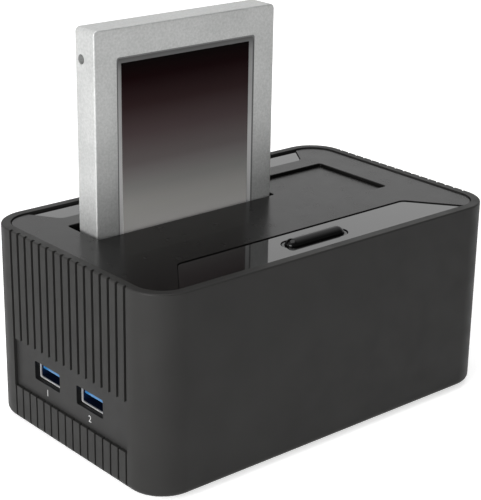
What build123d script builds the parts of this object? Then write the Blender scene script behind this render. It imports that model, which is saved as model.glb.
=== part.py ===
from build123d import *
import os
from math import cos, pi, sin, sqrt

# Hard drive docking station with a 2.5-inch drive docked, in millimetres.
# X runs to the right along the front, Y towards the back and Z up.
# The origin is under the middle of the case, on the surface that it stands on.

# Allowances
overrun = 1.0            # how far a cutter runs past the face that it opens
fit_gap = 0.15           # gap round a plate that drops into a recess
slide_gap = 0.3          # gap round a piece that moves in an opening
seat_gap = 0.2           # gap between the docked drive and what it stops on
thread_gap = 0.05        # radial gap between a screw and its pilot hole
running_gap = 0.05       # radial gap between the flap and its pin

# Case
case_width = 140.0
case_depth = 86.0
case_height = 63.5
case_corner_radius = 12.0
case_wall = 2.4
bottom_edge_radius = 2.0
rim_width = 3.0
rim_edge_radius = 0.5
ledge_reach = 2.0        # how far the ledge under the deck stands in from the rim
ledge_thickness = 2.0

# Feet
foot_radius = 5.0
foot_height = 1.5        # below the case
foot_recess = 0.6
foot_edge_radius = 0.4
foot_inset_x = 18.0
foot_inset_y = 15.0

# Grooves on the two ends
groove_pitch = 3.88
groove_width = 1.15
lower_groove_width = 0.75
groove_depth = 1.1
groove_bottom_inset = 1.0

# Window for the side ports, cut through the left wall between the grooves
window_rise = 11.7       # above the bottom of the case
window_height = 16.2
window_flange = 1.3
window_flange_thickness = 1.2

# Base
base_inset = 0.4         # above the bottom edge of the case
base_thickness = 2.2
base_rib_height = 3.0
base_rib_width = 1.2
vent_count = 11
vent_pitch = 5.0
vent_width = 2.0
vent_length = 26.0

# Case screws and their posts
post_inset = 7.4
post_radius = 3.5
case_screw_radius = 1.25
case_screw_length = 12.0
case_screw_head_radius = 2.4
case_screw_head_height = 1.2

# Deck
deck_drop = 0.4         # below the rim
deck_thickness = 2.2
deck_edge_radius = 0.3

# Drive bay
bay_side_margin = 13.55  # from the side of the deck
bay_front_share = 0.1744  # of the depth of the deck, between the bay and the front strip
bay_back_share = 0.0891  # of the depth of the deck, between the bay and the rear strip
bay_rise = 6.5           # underside of the bay floor above the main board
bay_corner_radius = 1.0
well_wall = 1.6
well_floor_thickness = 1.6
guide_rib_depth = 5.0
guide_rib_drop = 5.0     # below the deck
ear_reach = 6.6
ear_depth = 8.0
ear_thickness = 1.6
ear_drop = 5.0           # below the deck
ear_front_inset = 8.5    # from the front of the bay
ear_back_inset = 5.4     # from the back of the bay
well_boss_radius = 2.6
well_screw_radius = 0.95
well_screw_length = 5.4
well_screw_head_radius = 1.9
well_screw_head_height = 1.3

# Flap over the bay
flap_drop = 1.0         # below the deck
flap_thickness = 2.0
flap_edge_radius = 0.3
flap_corner_radius = 0.8
flap_rib_height = 1.0
flap_rib_width = 1.4
flap_rib_count = 5
flap_front_room = 0.95   # between the flap and the front of the docked drive
flap_side_room = 1.05   # between the flap and the right side of the docked drive
hinge_drop = 2.4         # axis below the top of the flap
barrel_radius = 1.6
pin_radius = 0.8
pin_seat_gap = 0.02
hinge_spring_wire_radius = 0.25
hinge_spring_pitch = 0.95
hinge_spring_turns = 6
hinge_spring_leg = 6.0
hinge_spring_share = 0.26  # of the width of the bay, from its middle
spring_bay_width = 9.0

# Polished strips let into the deck
strip_drop = 0.3         # below the deck
strip_thickness = 1.0
strip_gap = 0.2
strip_edge_radius = 0.15
strip_corner_radius = 3.0
front_strip_share = 0.2064  # of the depth of the deck
front_strip_near_inset = 20.25  # ends of its back edge, from the sides of the deck
front_strip_far_inset = 7.85    # ends of its front edge, from the sides of the deck
rear_strip_share = 0.1236
rear_strip_near_inset = 16.25
rear_strip_far_inset = 9.85

# Power button
button_inset = 8.35      # from the front of the deck
button_slot_length = 25.4
button_slot_width = 7.5
bezel_drop = 0.3         # below the strip
bezel_wall = 0.95
bezel_edge_radius = 0.25
bezel_flange = 1.5
bezel_flange_thickness = 1.6
button_dome = 1.8
button_rise = 1.9        # crown above the strip
button_flange = 1.5
button_flange_thickness = 1.2
button_travel = 1.0
button_stem_radius = 1.7
spring_peg_radius = 0.8
spring_peg_length = 2.4
button_spring_offset = 9.0
button_spring_radius = 1.55
button_spring_wire_radius = 0.2
button_spring_turns = 6

# Board under the button
switch_board_length = 44.0
switch_board_width = 11.0
switch_board_thickness = 1.2
switch_board_drop = 10.8  # top of the board below the deck
switch_boss_radius = 2.5
switch_boss_offset = 18.6
switch_size = 6.0
switch_height = 3.5
switch_floor = 0.8
plunger_length = 2.7
led_length = 1.6
led_width = 0.8
led_height = 0.7
led_offset = 5.0
ribbon_thickness = 0.3
ribbon_width = 6.0
ribbon_bend_radius = 4.0
ribbon_x = -10.0
ribbon_inset = 4.5       # from the front of the main board
header_length = 8.0
header_width = 3.0
header_height = 2.0

# Main board
board_rise = 17.4        # top of the board above the bottom of the case
board_thickness = 1.6
board_right_margin = 23.6
board_front_margin = 18.6
board_edge_gap = 0.3
board_notch = 12.0
standoff_radius = 3.0
board_screw_radius = 1.1
board_screw_length = 6.0
board_screw_head_radius = 2.3
board_screw_head_height = 1.4
standoff_left_share = 0.19   # of the length of the board, from its left end
standoff_right_share = 0.955
standoff_front_inset = 4.0
standoff_back_inset = 11.3

# Parts on the main board, placed by shares of its length and depth from its left front corner
bridge_chip_size = 10.0
bridge_chip_height = 1.2
bridge_chip_share = (0.364, 0.241)
hub_chip_size = 7.0
hub_chip_height = 1.0
hub_chip_share = (0.237, 0.273)
memory_chip_length = 6.0
memory_chip_width = 5.0
memory_chip_height = 1.5
memory_chip_share = (0.6, 0.16)
crystal_length = 11.0
crystal_width = 4.6
crystal_height = 3.5
crystal_shares = ((0.709, 0.128), (0.709, 0.257))
inductor_size = 7.0
inductor_height = 4.0
inductor_corner_radius = 1.5
inductor_core_radius = 2.2
inductor_shares = ((0.836, 0.257), (0.936, 0.257))
capacitor_radius = 3.15
capacitor_height = 7.7
capacitor_base = 0.8
capacitor_share = 0.619
capacitor_pitch = 7.5
capacitor_inset = 7.3    # from the back of the board
pin_foot_width = 0.4
pin_foot_reach = 0.9
pin_foot_height = 0.25
pin_foot_pitch = 1.0

# Side ports
port_back_share = 0.4313  # of half the width of the window, from its middle
port_front_share = -0.3235
port_width = 13.14
port_height = 5.72
port_length = 14.0
port_corner_radius = 0.6
port_metal = 0.35
port_setback = 1.7       # behind the face of the port plate
port_opening_gap = 0.2
port_opening_corner_radius = 0.6
tongue_width = 11.1
tongue_thickness = 1.84
tongue_drop = 0.75       # below the top of the socket
tongue_setback = 0.6
tongue_root = 4.0
contact_count = 4
contact_pitch = 2.3
contact_width = 1.0
contact_thickness = 0.2
contact_setback = 0.6

# Rear ports
uplink_share = 0.419     # of the length of the board
uplink_width = 12.2
uplink_height = 10.9
uplink_length = 15.0
uplink_corner = 2.0
uplink_core_width = 6.6
uplink_core_height = 4.6
uplink_core_length = 9.0
uplink_back_thickness = 3.0
jack_share = 0.8
jack_width = 9.0
jack_height = 11.0
jack_length = 14.0
jack_bore_radius = 2.8
jack_bore_depth = 9.5
jack_pin_radius = 1.0
jack_pin_setback = 1.0
rear_port_gap = 0.3
rear_setback = 0.4       # behind the back of the case

# Docked drive
drive_width = 69.85
drive_thickness = 9.5
drive_length = 100.0
drive_side_room = 2.0    # between the drive and the left side of the bay
drive_back_room = 3.45   # between the drive and the back of the bay
drive_edge_radius = 0.5
drive_shoulder_radius = 1.6
drive_side_wall = 3.4
drive_end_wall = 1.6
drive_front_wall = 1.5
drive_back_thickness = 1.0
pocket_side_margin = 8.0
pocket_end_margin = 8.8
pocket_depth = 0.5
pocket_bevel = 1.5
pocket_corner_radius = 0.9
label_margin = 0.6
label_thickness = 0.12
side_hole_radius = 1.5
side_hole_depth = 3.0
side_hole_inset = 3.0    # from the back face
side_hole_low = 14.0     # from the socket end
side_hole_high = 90.6
drive_board_thickness = 1.2
drive_board_length = 62.0
drive_post_radius = 2.2
drive_post_inset = 6.0
drive_screw_radius = 0.8
drive_screw_length = 4.0
drive_screw_head_radius = 1.6
drive_screw_head_height = 0.6
drive_chip_width = 14.0
drive_chip_length = 18.0
drive_chip_height = 1.0
drive_chip_count = 2
drive_chip_pitch = 22.0
drive_chip_rise = 40.0

# Drive socket on the main board and the plug in the drive
plug_offset = 21.5       # plug centre from the left side of the drive
plug_back_offset = 3.5   # plug centre from the back face of the drive
nose_width = 33.0
nose_depth = 3.0
nose_height = 4.9        # above the bay floor
socket_base_width = 40.0
socket_base_depth = 6.8
socket_slot_gap = 0.4
plug_wall = 0.6
plug_back = 1.2
blade_thickness = 1.2
blade_length = 4.4
blade_gap = 0.3
signal_blade_width = 9.0
power_blade_width = 19.5
socket_pin_count = 22
socket_pin_pitch = 1.27

# Heights and faces that follow from the sizes above
shell_bottom = foot_height
shell_top = shell_bottom + case_height
deck_top = shell_top - deck_drop
deck_bottom = deck_top - deck_thickness
ledge_bottom = deck_bottom - ledge_thickness
rim_inner_width = case_width - 2 * rim_width
rim_inner_depth = case_depth - 2 * rim_width
rim_inner_radius = case_corner_radius - rim_width
deck_width = rim_inner_width - 2 * fit_gap
deck_depth = rim_inner_depth - 2 * fit_gap
deck_corner_radius = rim_inner_radius - fit_gap
inner_width = case_width - 2 * case_wall
inner_depth = case_depth - 2 * case_wall
inner_radius = case_corner_radius - case_wall
base_bottom = shell_bottom + base_inset
base_top = base_bottom + base_thickness
deck_front = -deck_depth / 2
deck_back = deck_depth / 2
post_x = case_width / 2 - post_inset
post_y = case_depth / 2 - post_inset
foot_x = case_width / 2 - foot_inset_x
foot_y = case_depth / 2 - foot_inset_y

# Left wall
wall_face = -case_width / 2
wall_inner_face = wall_face + case_wall
window_low = shell_bottom + window_rise
window_high = window_low + window_height
groove_room = case_depth - 2 * case_corner_radius - groove_width
groove_count = int(groove_room / groove_pitch) + 1
groove_span = (groove_count - 1) * groove_pitch
window_half = (groove_span + groove_width) / 2
groove_low = shell_bottom + groove_bottom_inset
groove_high = shell_top + overrun

# Boards
board_top = shell_bottom + board_rise
board_bottom = board_top - board_thickness
board_left = wall_inner_face + window_flange_thickness + board_edge_gap
board_right = inner_width / 2 - board_right_margin
board_front = board_front_margin - inner_depth / 2
board_back = inner_depth / 2 - board_edge_gap
board_length = board_right - board_left
standoff_left_x = board_left + standoff_left_share * board_length
standoff_right_x = board_left + standoff_right_share * board_length
standoff_front_y = board_front + standoff_front_inset
standoff_back_y = board_back - standoff_back_inset
switch_board_top = deck_bottom - switch_board_drop
switch_board_bottom = switch_board_top - switch_board_thickness

# Strips, bay and drive
front_strip_depth = front_strip_share * deck_depth
rear_strip_depth = rear_strip_share * deck_depth
front_strip_back = deck_front + front_strip_depth
rear_strip_front = deck_back - rear_strip_depth
button_y = deck_front + button_inset
bay_width = deck_width - 2 * bay_side_margin
bay_front = front_strip_back + bay_front_share * deck_depth
bay_back = rear_strip_front - bay_back_share * deck_depth
well_floor_bottom = board_top + bay_rise
well_floor_top = well_floor_bottom + well_floor_thickness
drive_left = drive_side_room - bay_width / 2
drive_right = drive_left + drive_width
drive_back = bay_back - drive_back_room
drive_front = drive_back - drive_thickness
drive_bottom = well_floor_top + seat_gap
drive_top = drive_bottom + drive_length
well_half_width = bay_width / 2 + well_wall
ear_top = deck_bottom - ear_drop
ear_bottom = ear_top - ear_thickness
ear_x = well_half_width + ear_reach - well_boss_radius
ear_front_y = bay_front + ear_front_inset
ear_back_y = bay_back - ear_back_inset

# Flap
flap_top = deck_top - flap_drop
flap_bottom = flap_top - flap_thickness
flap_left = -bay_width / 2 + slide_gap
flap_right = bay_width / 2 - slide_gap
flap_front = bay_front + slide_gap
flap_back = bay_back - 2 * fit_gap
flap_cut_x = drive_right + flap_side_room
flap_cut_y = drive_front - flap_front_room
hinge_y = flap_front + barrel_radius
hinge_z = flap_top - hinge_drop
hinge_spring_radius = barrel_radius - hinge_spring_wire_radius
hinge_spring_offset = hinge_spring_share * bay_width

# Button
strip_top = deck_top - strip_drop
strip_bottom = strip_top - strip_thickness
bezel_top = strip_top - bezel_drop
bezel_bottom = deck_bottom - bezel_flange_thickness
button_length = button_slot_length - 2 * (fit_gap + bezel_wall) - slide_gap
button_width = button_slot_width - 2 * (fit_gap + bezel_wall) - slide_gap
button_top = strip_top + button_rise
button_shoulder = button_top - button_dome
button_flange_top = bezel_bottom - slide_gap
button_flange_bottom = button_flange_top - button_flange_thickness
switch_top = switch_board_top + switch_height
plunger_bottom = switch_board_top + switch_floor + button_travel + slide_gap
plunger_top = plunger_bottom + plunger_length

# Ports
port_back_y = port_back_share * window_half
port_front_y = port_front_share * window_half
port_face = wall_face + groove_depth + port_setback
port_low = board_top
port_high = port_low + port_height
rear_face = case_depth / 2 - rear_setback
uplink_x = board_left + uplink_share * board_length
uplink_y = rear_face - uplink_length
jack_x = board_left + jack_share * board_length
jack_y = rear_face - jack_length

# Plug
plug_x = drive_left + plug_offset
plug_y = drive_back - plug_back_offset
nose_top = well_floor_top + nose_height
plug_cavity_width = nose_width + 2 * slide_gap
plug_cavity_depth = nose_depth + 2 * slide_gap
plug_cavity_top = nose_top + slide_gap
plug_width = plug_cavity_width + 2 * plug_wall
plug_depth = plug_cavity_depth + 2 * plug_wall
plug_top = plug_cavity_top + plug_back
blade_bottom = plug_cavity_top - blade_length


def block(x_low, x_high, y_low, y_high, z_low, z_high):
    """Box between two planes in each direction."""
    size = (x_high - x_low, y_high - y_low, z_high - z_low)
    middle = ((x_low + x_high) / 2, (y_low + y_high) / 2, (z_low + z_high) / 2)
    return Pos(*middle) * Box(*size)


def bar(x, y, width, depth, z_low, z_high):
    """Upright box centred on a point of the plan."""
    return block(x - width / 2, x + width / 2, y - depth / 2, y + depth / 2, z_low, z_high)


def slab(x, y, width, depth, radius, z_low, z_high):
    """Upright box with rounded corners in plan."""
    outline = Pos(x, y, z_low) * RectangleRounded(width, depth, radius)
    return extrude(outline, z_high - z_low)


def column(x, y, radius, z_low, z_high):
    """Upright round bar."""
    return Pos(x, y, (z_low + z_high) / 2) * Cylinder(radius, z_high - z_low)


def pilot(x, y, screw_radius, z_low, z_high):
    """Cutter for the hole that a screw's shank goes into."""
    return column(x, y, screw_radius + thread_gap, z_low, z_high)


def racetrack(length, width, z_low, z_high):
    """Upright bar with half-round ends, over the button."""
    outline = Pos(0, button_y, z_low) * SlotOverall(length, width)
    return extrude(outline, z_high - z_low)


def cross_bar(y, z, radius, x_low, x_high):
    """Round bar along X."""
    return Pos((x_low + x_high) / 2, y, z) * Rot(0, 90, 0) * Cylinder(radius, x_high - x_low)


def group(pieces):
    """Separate solids kept together as one node."""
    solids = [solid for piece in pieces for solid in piece.solids()]
    return Compound(solids)


def screw(head_radius, head_height, shank_radius, length):
    """Cross-headed screw with its head on z = 0 and its shank above."""
    long_side = head_radius * 4 / 3
    short_side = head_radius / 4
    recess_bottom = -head_height - overrun
    recess_top = -head_height / 2
    head = column(0, 0, head_radius, -head_height, 0)
    shank = column(0, 0, shank_radius, recess_top, length)
    one_way = bar(0, 0, long_side, short_side, recess_bottom, recess_top)
    other_way = bar(0, 0, short_side, long_side, recess_bottom, recess_top)
    return head + shank - one_way - other_way


def coil(radius, wire_radius, pitch, turns, leg):
    """Round wire wound about Z from z = 0, in tangent arcs of an eighth turn, with a straight end."""
    def place(quarter):
        angle = quarter * pi / 2
        return Vector(radius * cos(angle), radius * sin(angle), pitch * quarter / 4)

    def heading(quarter):
        angle = quarter * pi / 2
        return Vector(-radius * sin(angle), radius * cos(angle), pitch / (2 * pi)).normalized()

    path = []
    for quarter in range(4 * turns):
        start, end = place(quarter), place(quarter + 1)
        leaving, arriving = heading(quarter), heading(quarter + 1)
        span = end - start
        bend = 2 * (1 - leaving.dot(arriving))
        slope = 2 * span.dot(leaving + arriving)
        reach = (sqrt(slope ** 2 + 4 * bend * span.dot(span)) - slope) / (2 * bend)
        joint = (start + leaving * reach + end - arriving * reach) / 2
        path.append(TangentArc(start, joint, tangent=leaving))
        path.append(TangentArc(joint, end, tangent=path[-1] % 1))
    if leg:
        last = place(4 * turns)
        path.append(Line(last, last + heading(4 * turns) * leg))
    section = Plane(origin=place(0), z_dir=heading(0)) * Circle(wire_radius)
    return sweep(section, path=Wire(path))


def groove_places():
    """Y of each groove."""
    return [number * groove_pitch - groove_span / 2 for number in range(groove_count)]


def corner_places(x, y):
    """The four corners of a rectangle about the middle of the case."""
    return [(-x, -y), (x, -y), (-x, y), (x, y)]


def ear_places():
    """Where the bay hangs from the deck."""
    return [(side * ear_x, y) for side in (-1, 1) for y in (ear_front_y, ear_back_y)]


def standoff_places():
    """Where the main board is held."""
    return [(x, y) for x in (standoff_left_x, standoff_right_x) for y in (standoff_front_y, standoff_back_y)]


def outer_shell():
    """Case with its rim, grooved ends, port window and screw posts."""
    body = slab(0, 0, case_width, case_depth, case_corner_radius, shell_bottom, shell_top)
    body = fillet(body.edges().group_by(Axis.Z)[0], bottom_edge_radius)
    body = fillet(body.edges().group_by(Axis.Z)[-1], rim_edge_radius)
    ledge_width = rim_inner_width - 2 * ledge_reach
    ledge_depth = rim_inner_depth - 2 * ledge_reach
    ledge_radius = rim_inner_radius - ledge_reach
    body -= slab(0, 0, inner_width, inner_depth, inner_radius, shell_bottom - overrun, ledge_bottom)
    body -= slab(0, 0, ledge_width, ledge_depth, ledge_radius, ledge_bottom - overrun, shell_top + overrun)
    body -= slab(0, 0, rim_inner_width, rim_inner_depth, rim_inner_radius, deck_bottom, shell_top + overrun)
    for x, y in corner_places(post_x, post_y):
        body += column(x, y, post_radius, base_top, deck_bottom)
        body -= pilot(x, y, case_screw_radius, base_top - overrun, base_top + case_screw_length)
    cuts = rear_openings()
    left_low, left_high = wall_face - overrun, wall_face + groove_depth
    half, low_half = groove_width / 2, lower_groove_width / 2
    for y in groove_places():
        cuts.append(block(left_low, left_high, y - half, y + half, window_low, groove_high))
        cuts.append(block(left_low, left_high, y - low_half, y + low_half, groove_low, window_high))
        cuts.append(block(-left_high, -left_low, y - half, y + half, groove_low, groove_high))
    inside = wall_inner_face + overrun
    cuts.append(block(left_low, inside, -window_half, window_half, window_low, window_high))
    return body - cuts


def rear_openings():
    """Cutters for the two rear ports, through the back wall."""
    y_low, y_high = inner_depth / 2 - overrun, case_depth / 2 + overrun
    gap = rear_port_gap
    cutters = []
    ports = ((uplink_x, uplink_width, uplink_height), (jack_x, jack_width, jack_height))
    for x, width, height in ports:
        half = width / 2 + gap
        cutters.append(block(x - half, x + half, y_low, y_high, board_top - gap, board_top + height + gap))
    return cutters


def port_opening(y):
    """Cutter for one side port."""
    half = port_width / 2 + port_opening_gap
    low, high = port_low - port_opening_gap, port_high + port_opening_gap
    cutter = block(wall_face - overrun, board_left + overrun, y - half, y + half, low, high)
    return fillet(cutter.edges().filter_by(Axis.X), port_opening_corner_radius)


def port_plate():
    """Plate that fills the window, flush with the floors of the grooves, with a flange inside."""
    front, back = wall_face + groove_depth, wall_inner_face + window_flange_thickness
    half = window_half - thread_gap
    low, high = window_low + thread_gap, window_high - thread_gap
    face = block(front, wall_inner_face, -half, half, low, high)
    half = window_half + window_flange
    low, high = window_low - window_flange, window_high + window_flange
    flange = block(wall_inner_face, back, -half, half, low, high)
    return face + flange - [port_opening(port_back_y), port_opening(port_front_y)]


def base_tray():
    """Plate that closes the case from below and carries the main board."""
    width, depth = inner_width - 2 * fit_gap, inner_depth - 2 * fit_gap
    plate = slab(0, 0, width, depth, inner_radius - fit_gap, base_bottom, base_top)
    rib_top = base_top + base_rib_height
    for y in (standoff_front_y, standoff_back_y):
        plate += bar(0, y, 2 * standoff_right_x, base_rib_width, base_top, rib_top)
    for x, y in standoff_places():
        plate += column(x, y, standoff_radius, base_top, board_bottom)
        hole_bottom = board_top - board_screw_length - overrun
        plate -= pilot(x, y, board_screw_radius, hole_bottom, board_bottom + overrun)
    below, above = base_bottom - overrun, base_top + overrun
    cuts = []
    for x, y in corner_places(post_x, post_y):
        cuts.append(pilot(x, y, case_screw_radius, below, above))
        cuts.append(pilot(x, y, case_screw_head_radius, below, base_bottom + case_screw_head_height))
    for x, y in corner_places(foot_x, foot_y):
        cuts.append(pilot(x, y, foot_radius, below, base_bottom + foot_recess))
    for number in range(vent_count):
        x = (number - (vent_count - 1) / 2) * vent_pitch
        slot = Pos(x, 0, below) * SlotOverall(vent_length, vent_width, rotation=90)
        cuts.append(extrude(slot, above - below))
    return plate - cuts


def rubber_feet():
    """Four feet let into the base."""
    feet = []
    for x, y in corner_places(foot_x, foot_y):
        foot = column(x, y, foot_radius, 0, base_bottom + foot_recess)
        feet.append(fillet(foot.edges().group_by(Axis.Z)[0], foot_edge_radius))
    return group(feet)


def case_screws():
    """Four screws up through the base into the posts."""
    one = screw(case_screw_head_radius, case_screw_head_height, case_screw_radius, case_screw_length)
    head_top = base_bottom + case_screw_head_height
    return group([Pos(x, y, head_top) * one for x, y in corner_places(post_x, post_y)])


def strip_outline(near_y, far_y, near_width, far_width):
    """Trapezium with parallel sides along X, rounded at the near side."""
    near, far = near_width / 2, far_width / 2
    corners = [(-near, near_y), (near, near_y), (far, far_y), (-far, far_y)]
    outline = make_face(Polyline(*corners, close=True))
    near_corners = [v for v in outline.vertices() if abs(v.Y - near_y) < fit_gap]
    return fillet(near_corners, strip_corner_radius)


def front_strip_shape():
    """Outline of the strip with the button, running out past the front of the deck."""
    near, far = front_strip_near_inset, front_strip_far_inset
    slant = (near - far) / front_strip_depth
    near_width, far_width = deck_width - 2 * near, deck_width - 2 * (far - slant * overrun)
    return strip_outline(front_strip_back, deck_front - overrun, near_width, far_width)


def rear_strip_shape():
    """Outline of the strip at the back, running out past the back of the deck."""
    near, far = rear_strip_near_inset, rear_strip_far_inset
    slant = (near - far) / rear_strip_depth
    near_width, far_width = deck_width - 2 * near, deck_width - 2 * (far - slant * overrun)
    return strip_outline(rear_strip_front, deck_back + overrun, near_width, far_width)


def strip_pocket(shape):
    """Cutter for the recess that a strip lies in."""
    return Pos(0, 0, strip_bottom) * extrude(offset(shape, strip_gap), deck_top - strip_bottom + overrun)


def strip_solid(shape):
    """Strip of even thickness that ends flush with the edge of the deck."""
    strip = Pos(0, 0, strip_bottom) * extrude(shape, strip_thickness)
    strip = strip & slab(0, 0, deck_width, deck_depth, deck_corner_radius, strip_bottom, strip_top)
    return strip


def button_opening():
    """Cutter for the slot that holds the button's bezel."""
    return racetrack(button_slot_length, button_slot_width, deck_bottom - overrun, deck_top + overrun)


def top_deck():
    """Panel inside the rim, with the bay mouth, strip recesses and bosses below."""
    deck = slab(0, 0, deck_width, deck_depth, deck_corner_radius, deck_bottom, deck_top)
    bay_y, bay_depth = (bay_front + bay_back) / 2, bay_back - bay_front
    below, above = deck_bottom - overrun, deck_top + overrun
    deck = deck - slab(0, bay_y, bay_width, bay_depth, bay_corner_radius, below, above)
    deck = fillet(deck.edges().group_by(Axis.Z)[-1], deck_edge_radius)
    deck = deck - strip_pocket(front_strip_shape()) - strip_pocket(rear_strip_shape()) - button_opening()
    for x, y in ear_places():
        deck += column(x, y, well_boss_radius, ear_top, deck_bottom)
        deck -= pilot(x, y, well_screw_radius, ear_top - overrun, deck_bottom)
    for x in (-switch_boss_offset, switch_boss_offset):
        deck += column(x, button_y, switch_boss_radius, switch_board_top, deck_bottom)
        hole_bottom, hole_top = switch_board_top - overrun, switch_board_top + well_screw_length
        deck -= pilot(x, button_y, well_screw_radius, hole_bottom, hole_top)
    return deck


def front_strip():
    """Polished strip along the front with the button slot."""
    strip = strip_solid(front_strip_shape()) - button_opening()
    return fillet(strip.edges().group_by(Axis.Z)[-1], strip_edge_radius)


def rear_strip():
    """Polished strip along the back."""
    strip = strip_solid(rear_strip_shape())
    return fillet(strip.edges().group_by(Axis.Z)[-1], strip_edge_radius)


def button_bezel():
    """Ring round the button, held under the deck by its flange."""
    length, width = button_slot_length - 2 * fit_gap, button_slot_width - 2 * fit_gap
    ring = racetrack(length, width, deck_bottom, bezel_top)
    ring = fillet(ring.edges().group_by(Axis.Z)[-1], bezel_edge_radius)
    ring += racetrack(length + 2 * bezel_flange, width + 2 * bezel_flange, bezel_bottom, deck_bottom)
    length, width = button_length + slide_gap, button_width + slide_gap
    return ring - racetrack(length, width, bezel_bottom - overrun, bezel_top + overrun)


def power_button():
    """Domed bar with a flange, a stem over the switch and two spring pegs."""
    straight = button_length - button_width
    dome_radius = ((button_width / 2) ** 2 + button_dome ** 2) / (2 * button_dome)
    dome_z = button_top - dome_radius
    dome = cross_bar(button_y, dome_z, dome_radius, -straight / 2, straight / 2)
    for side in (-1, 1):
        dome += Pos(side * straight / 2, button_y, dome_z) * Sphere(dome_radius)
    cap = racetrack(button_length, button_width, button_flange_bottom, button_top + overrun)
    low = racetrack(button_length, button_width, button_flange_bottom, button_shoulder)
    body = low + (cap & dome)
    length, width = button_length + 2 * button_flange, button_width + 2 * button_flange
    body += racetrack(length, width, button_flange_bottom, button_flange_top)
    body += column(0, button_y, button_stem_radius, plunger_top, button_flange_bottom)
    peg_bottom = button_flange_bottom - spring_peg_length
    for x in (-button_spring_offset, button_spring_offset):
        body += column(x, button_y, spring_peg_radius, peg_bottom, button_flange_bottom)
    return body


def button_springs():
    """Two compression springs between the switch board and the button's flange."""
    room = button_flange_bottom - switch_board_top - 2 * button_spring_wire_radius - seat_gap
    pitch = room / button_spring_turns
    one = coil(button_spring_radius, button_spring_wire_radius, pitch, button_spring_turns, 0)
    low = switch_board_top + button_spring_wire_radius
    return group([Pos(side * button_spring_offset, button_y, low) * one for side in (-1, 1)])


def switch_board():
    """Small board screwed to the two bosses in front of the bay."""
    low, high = switch_board_bottom, switch_board_top
    board = bar(0, button_y, switch_board_length, switch_board_width, low, high)
    for x in (-switch_boss_offset, switch_boss_offset):
        board -= pilot(x, button_y, well_screw_radius, low - overrun, high + overrun)
    return board


def switch_board_screws():
    """Two screws that hold the switch board."""
    length = switch_board_thickness + well_screw_length - overrun
    one = screw(well_screw_head_radius, well_screw_head_height, well_screw_radius, length)
    places = (-switch_boss_offset, switch_boss_offset)
    return group([Pos(x, button_y, switch_board_bottom) * one for x in places])


def button_switch():
    """Push switch under the button, open at the top for its plunger."""
    body = bar(0, button_y, switch_size, switch_size, switch_board_top, switch_top)
    floor = switch_board_top + switch_floor
    return body - column(0, button_y, button_stem_radius + slide_gap, floor, switch_top + overrun)


def switch_plunger():
    """Plunger of the switch, which the button's stem rests on."""
    return column(0, button_y, button_stem_radius, plunger_bottom, plunger_top)


def status_led():
    """Light beside the switch."""
    return bar(led_offset, button_y, led_length, led_width, switch_board_top, switch_board_top + led_height)


def ribbon_headers():
    """Connectors at the two ends of the ribbon."""
    size = (header_length, header_width)
    upper = bar(ribbon_x, button_y, *size, switch_board_bottom - header_height, switch_board_bottom)
    lower = bar(ribbon_x, board_front + ribbon_inset, *size, board_top, board_top + header_height)
    return group([upper, lower])


def switch_ribbon():
    """Flat ribbon from the switch board down to the main board."""
    start = switch_board_bottom - header_height
    end = board_top + header_height
    drop = start - end
    upper_bend, lower_bend = start - drop / 3, end + drop / 4
    lower_y = board_front + ribbon_inset
    route = [
        (ribbon_x, button_y, start),
        (ribbon_x, button_y, upper_bend),
        (ribbon_x, lower_y, lower_bend),
        (ribbon_x, lower_y, end),
    ]
    path = FilletPolyline(*route, radius=ribbon_bend_radius)
    start_plane = Plane(origin=route[0], x_dir=(1, 0, 0), z_dir=(0, 0, -1))
    return sweep(start_plane * Rectangle(ribbon_width, ribbon_thickness), path=path)


def drive_well():
    """Open box that the drive goes down into, hung from the deck by four ears."""
    bay_y, bay_depth = (bay_front + bay_back) / 2, bay_back - bay_front
    outer_width, outer_depth = bay_width + 2 * well_wall, bay_depth + 2 * well_wall
    outer_radius = bay_corner_radius + well_wall
    well = slab(0, bay_y, outer_width, outer_depth, outer_radius, well_floor_bottom, deck_bottom)
    well -= slab(0, bay_y, bay_width, bay_depth, bay_corner_radius, well_floor_top, deck_bottom + overrun)
    rib_face, rib_top = drive_left - slide_gap, deck_bottom - guide_rib_drop
    rib_low, rib_high = plug_y - guide_rib_depth / 2, plug_y + guide_rib_depth / 2
    well += block(-bay_width / 2, rib_face, rib_low, rib_high, well_floor_top, rib_top)
    for x, y in ear_places():
        side = 1 if x > 0 else -1
        middle = side * (well_half_width + (ear_reach - well_wall / 2) / 2)
        well += bar(middle, y, ear_reach + well_wall / 2, ear_depth, ear_bottom, ear_top)
        well -= pilot(x, y, well_screw_radius, ear_bottom - overrun, ear_top + overrun)
    slot = (nose_width + 2 * socket_slot_gap, nose_depth + 2 * socket_slot_gap)
    well -= bar(plug_x, plug_y, *slot, well_floor_bottom - overrun, well_floor_top + overrun)
    pin_reach = well_half_width + overrun
    return well - cross_bar(hinge_y, hinge_z, pin_radius + pin_seat_gap, -pin_reach, pin_reach)


def well_screws():
    """Four screws up through the ears into the deck."""
    length = ear_thickness + well_screw_length - overrun
    one = screw(well_screw_head_radius, well_screw_head_height, well_screw_radius, length)
    return group([Pos(x, y, ear_bottom) * one for x, y in ear_places()])


def flap_hinge_pin():
    """Steel rod that the flap turns on, held in the ends of the well."""
    return cross_bar(hinge_y, hinge_z, pin_radius, -well_half_width, well_half_width)


def flap_springs():
    """Two torsion springs round the pin, each with a leg down the front of the well."""
    pitch, turns = hinge_spring_pitch, hinge_spring_turns
    one = coil(hinge_spring_radius, hinge_spring_wire_radius, pitch, turns, hinge_spring_leg)
    upright = Plane(origin=(0, hinge_y, hinge_z), x_dir=(0, -1, 0), z_dir=(1, 0, 0))
    length = pitch * turns
    return group([Pos(side * hinge_spring_offset - length / 2, 0, 0) * (upright * one) for side in (-1, 1)])


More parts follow.
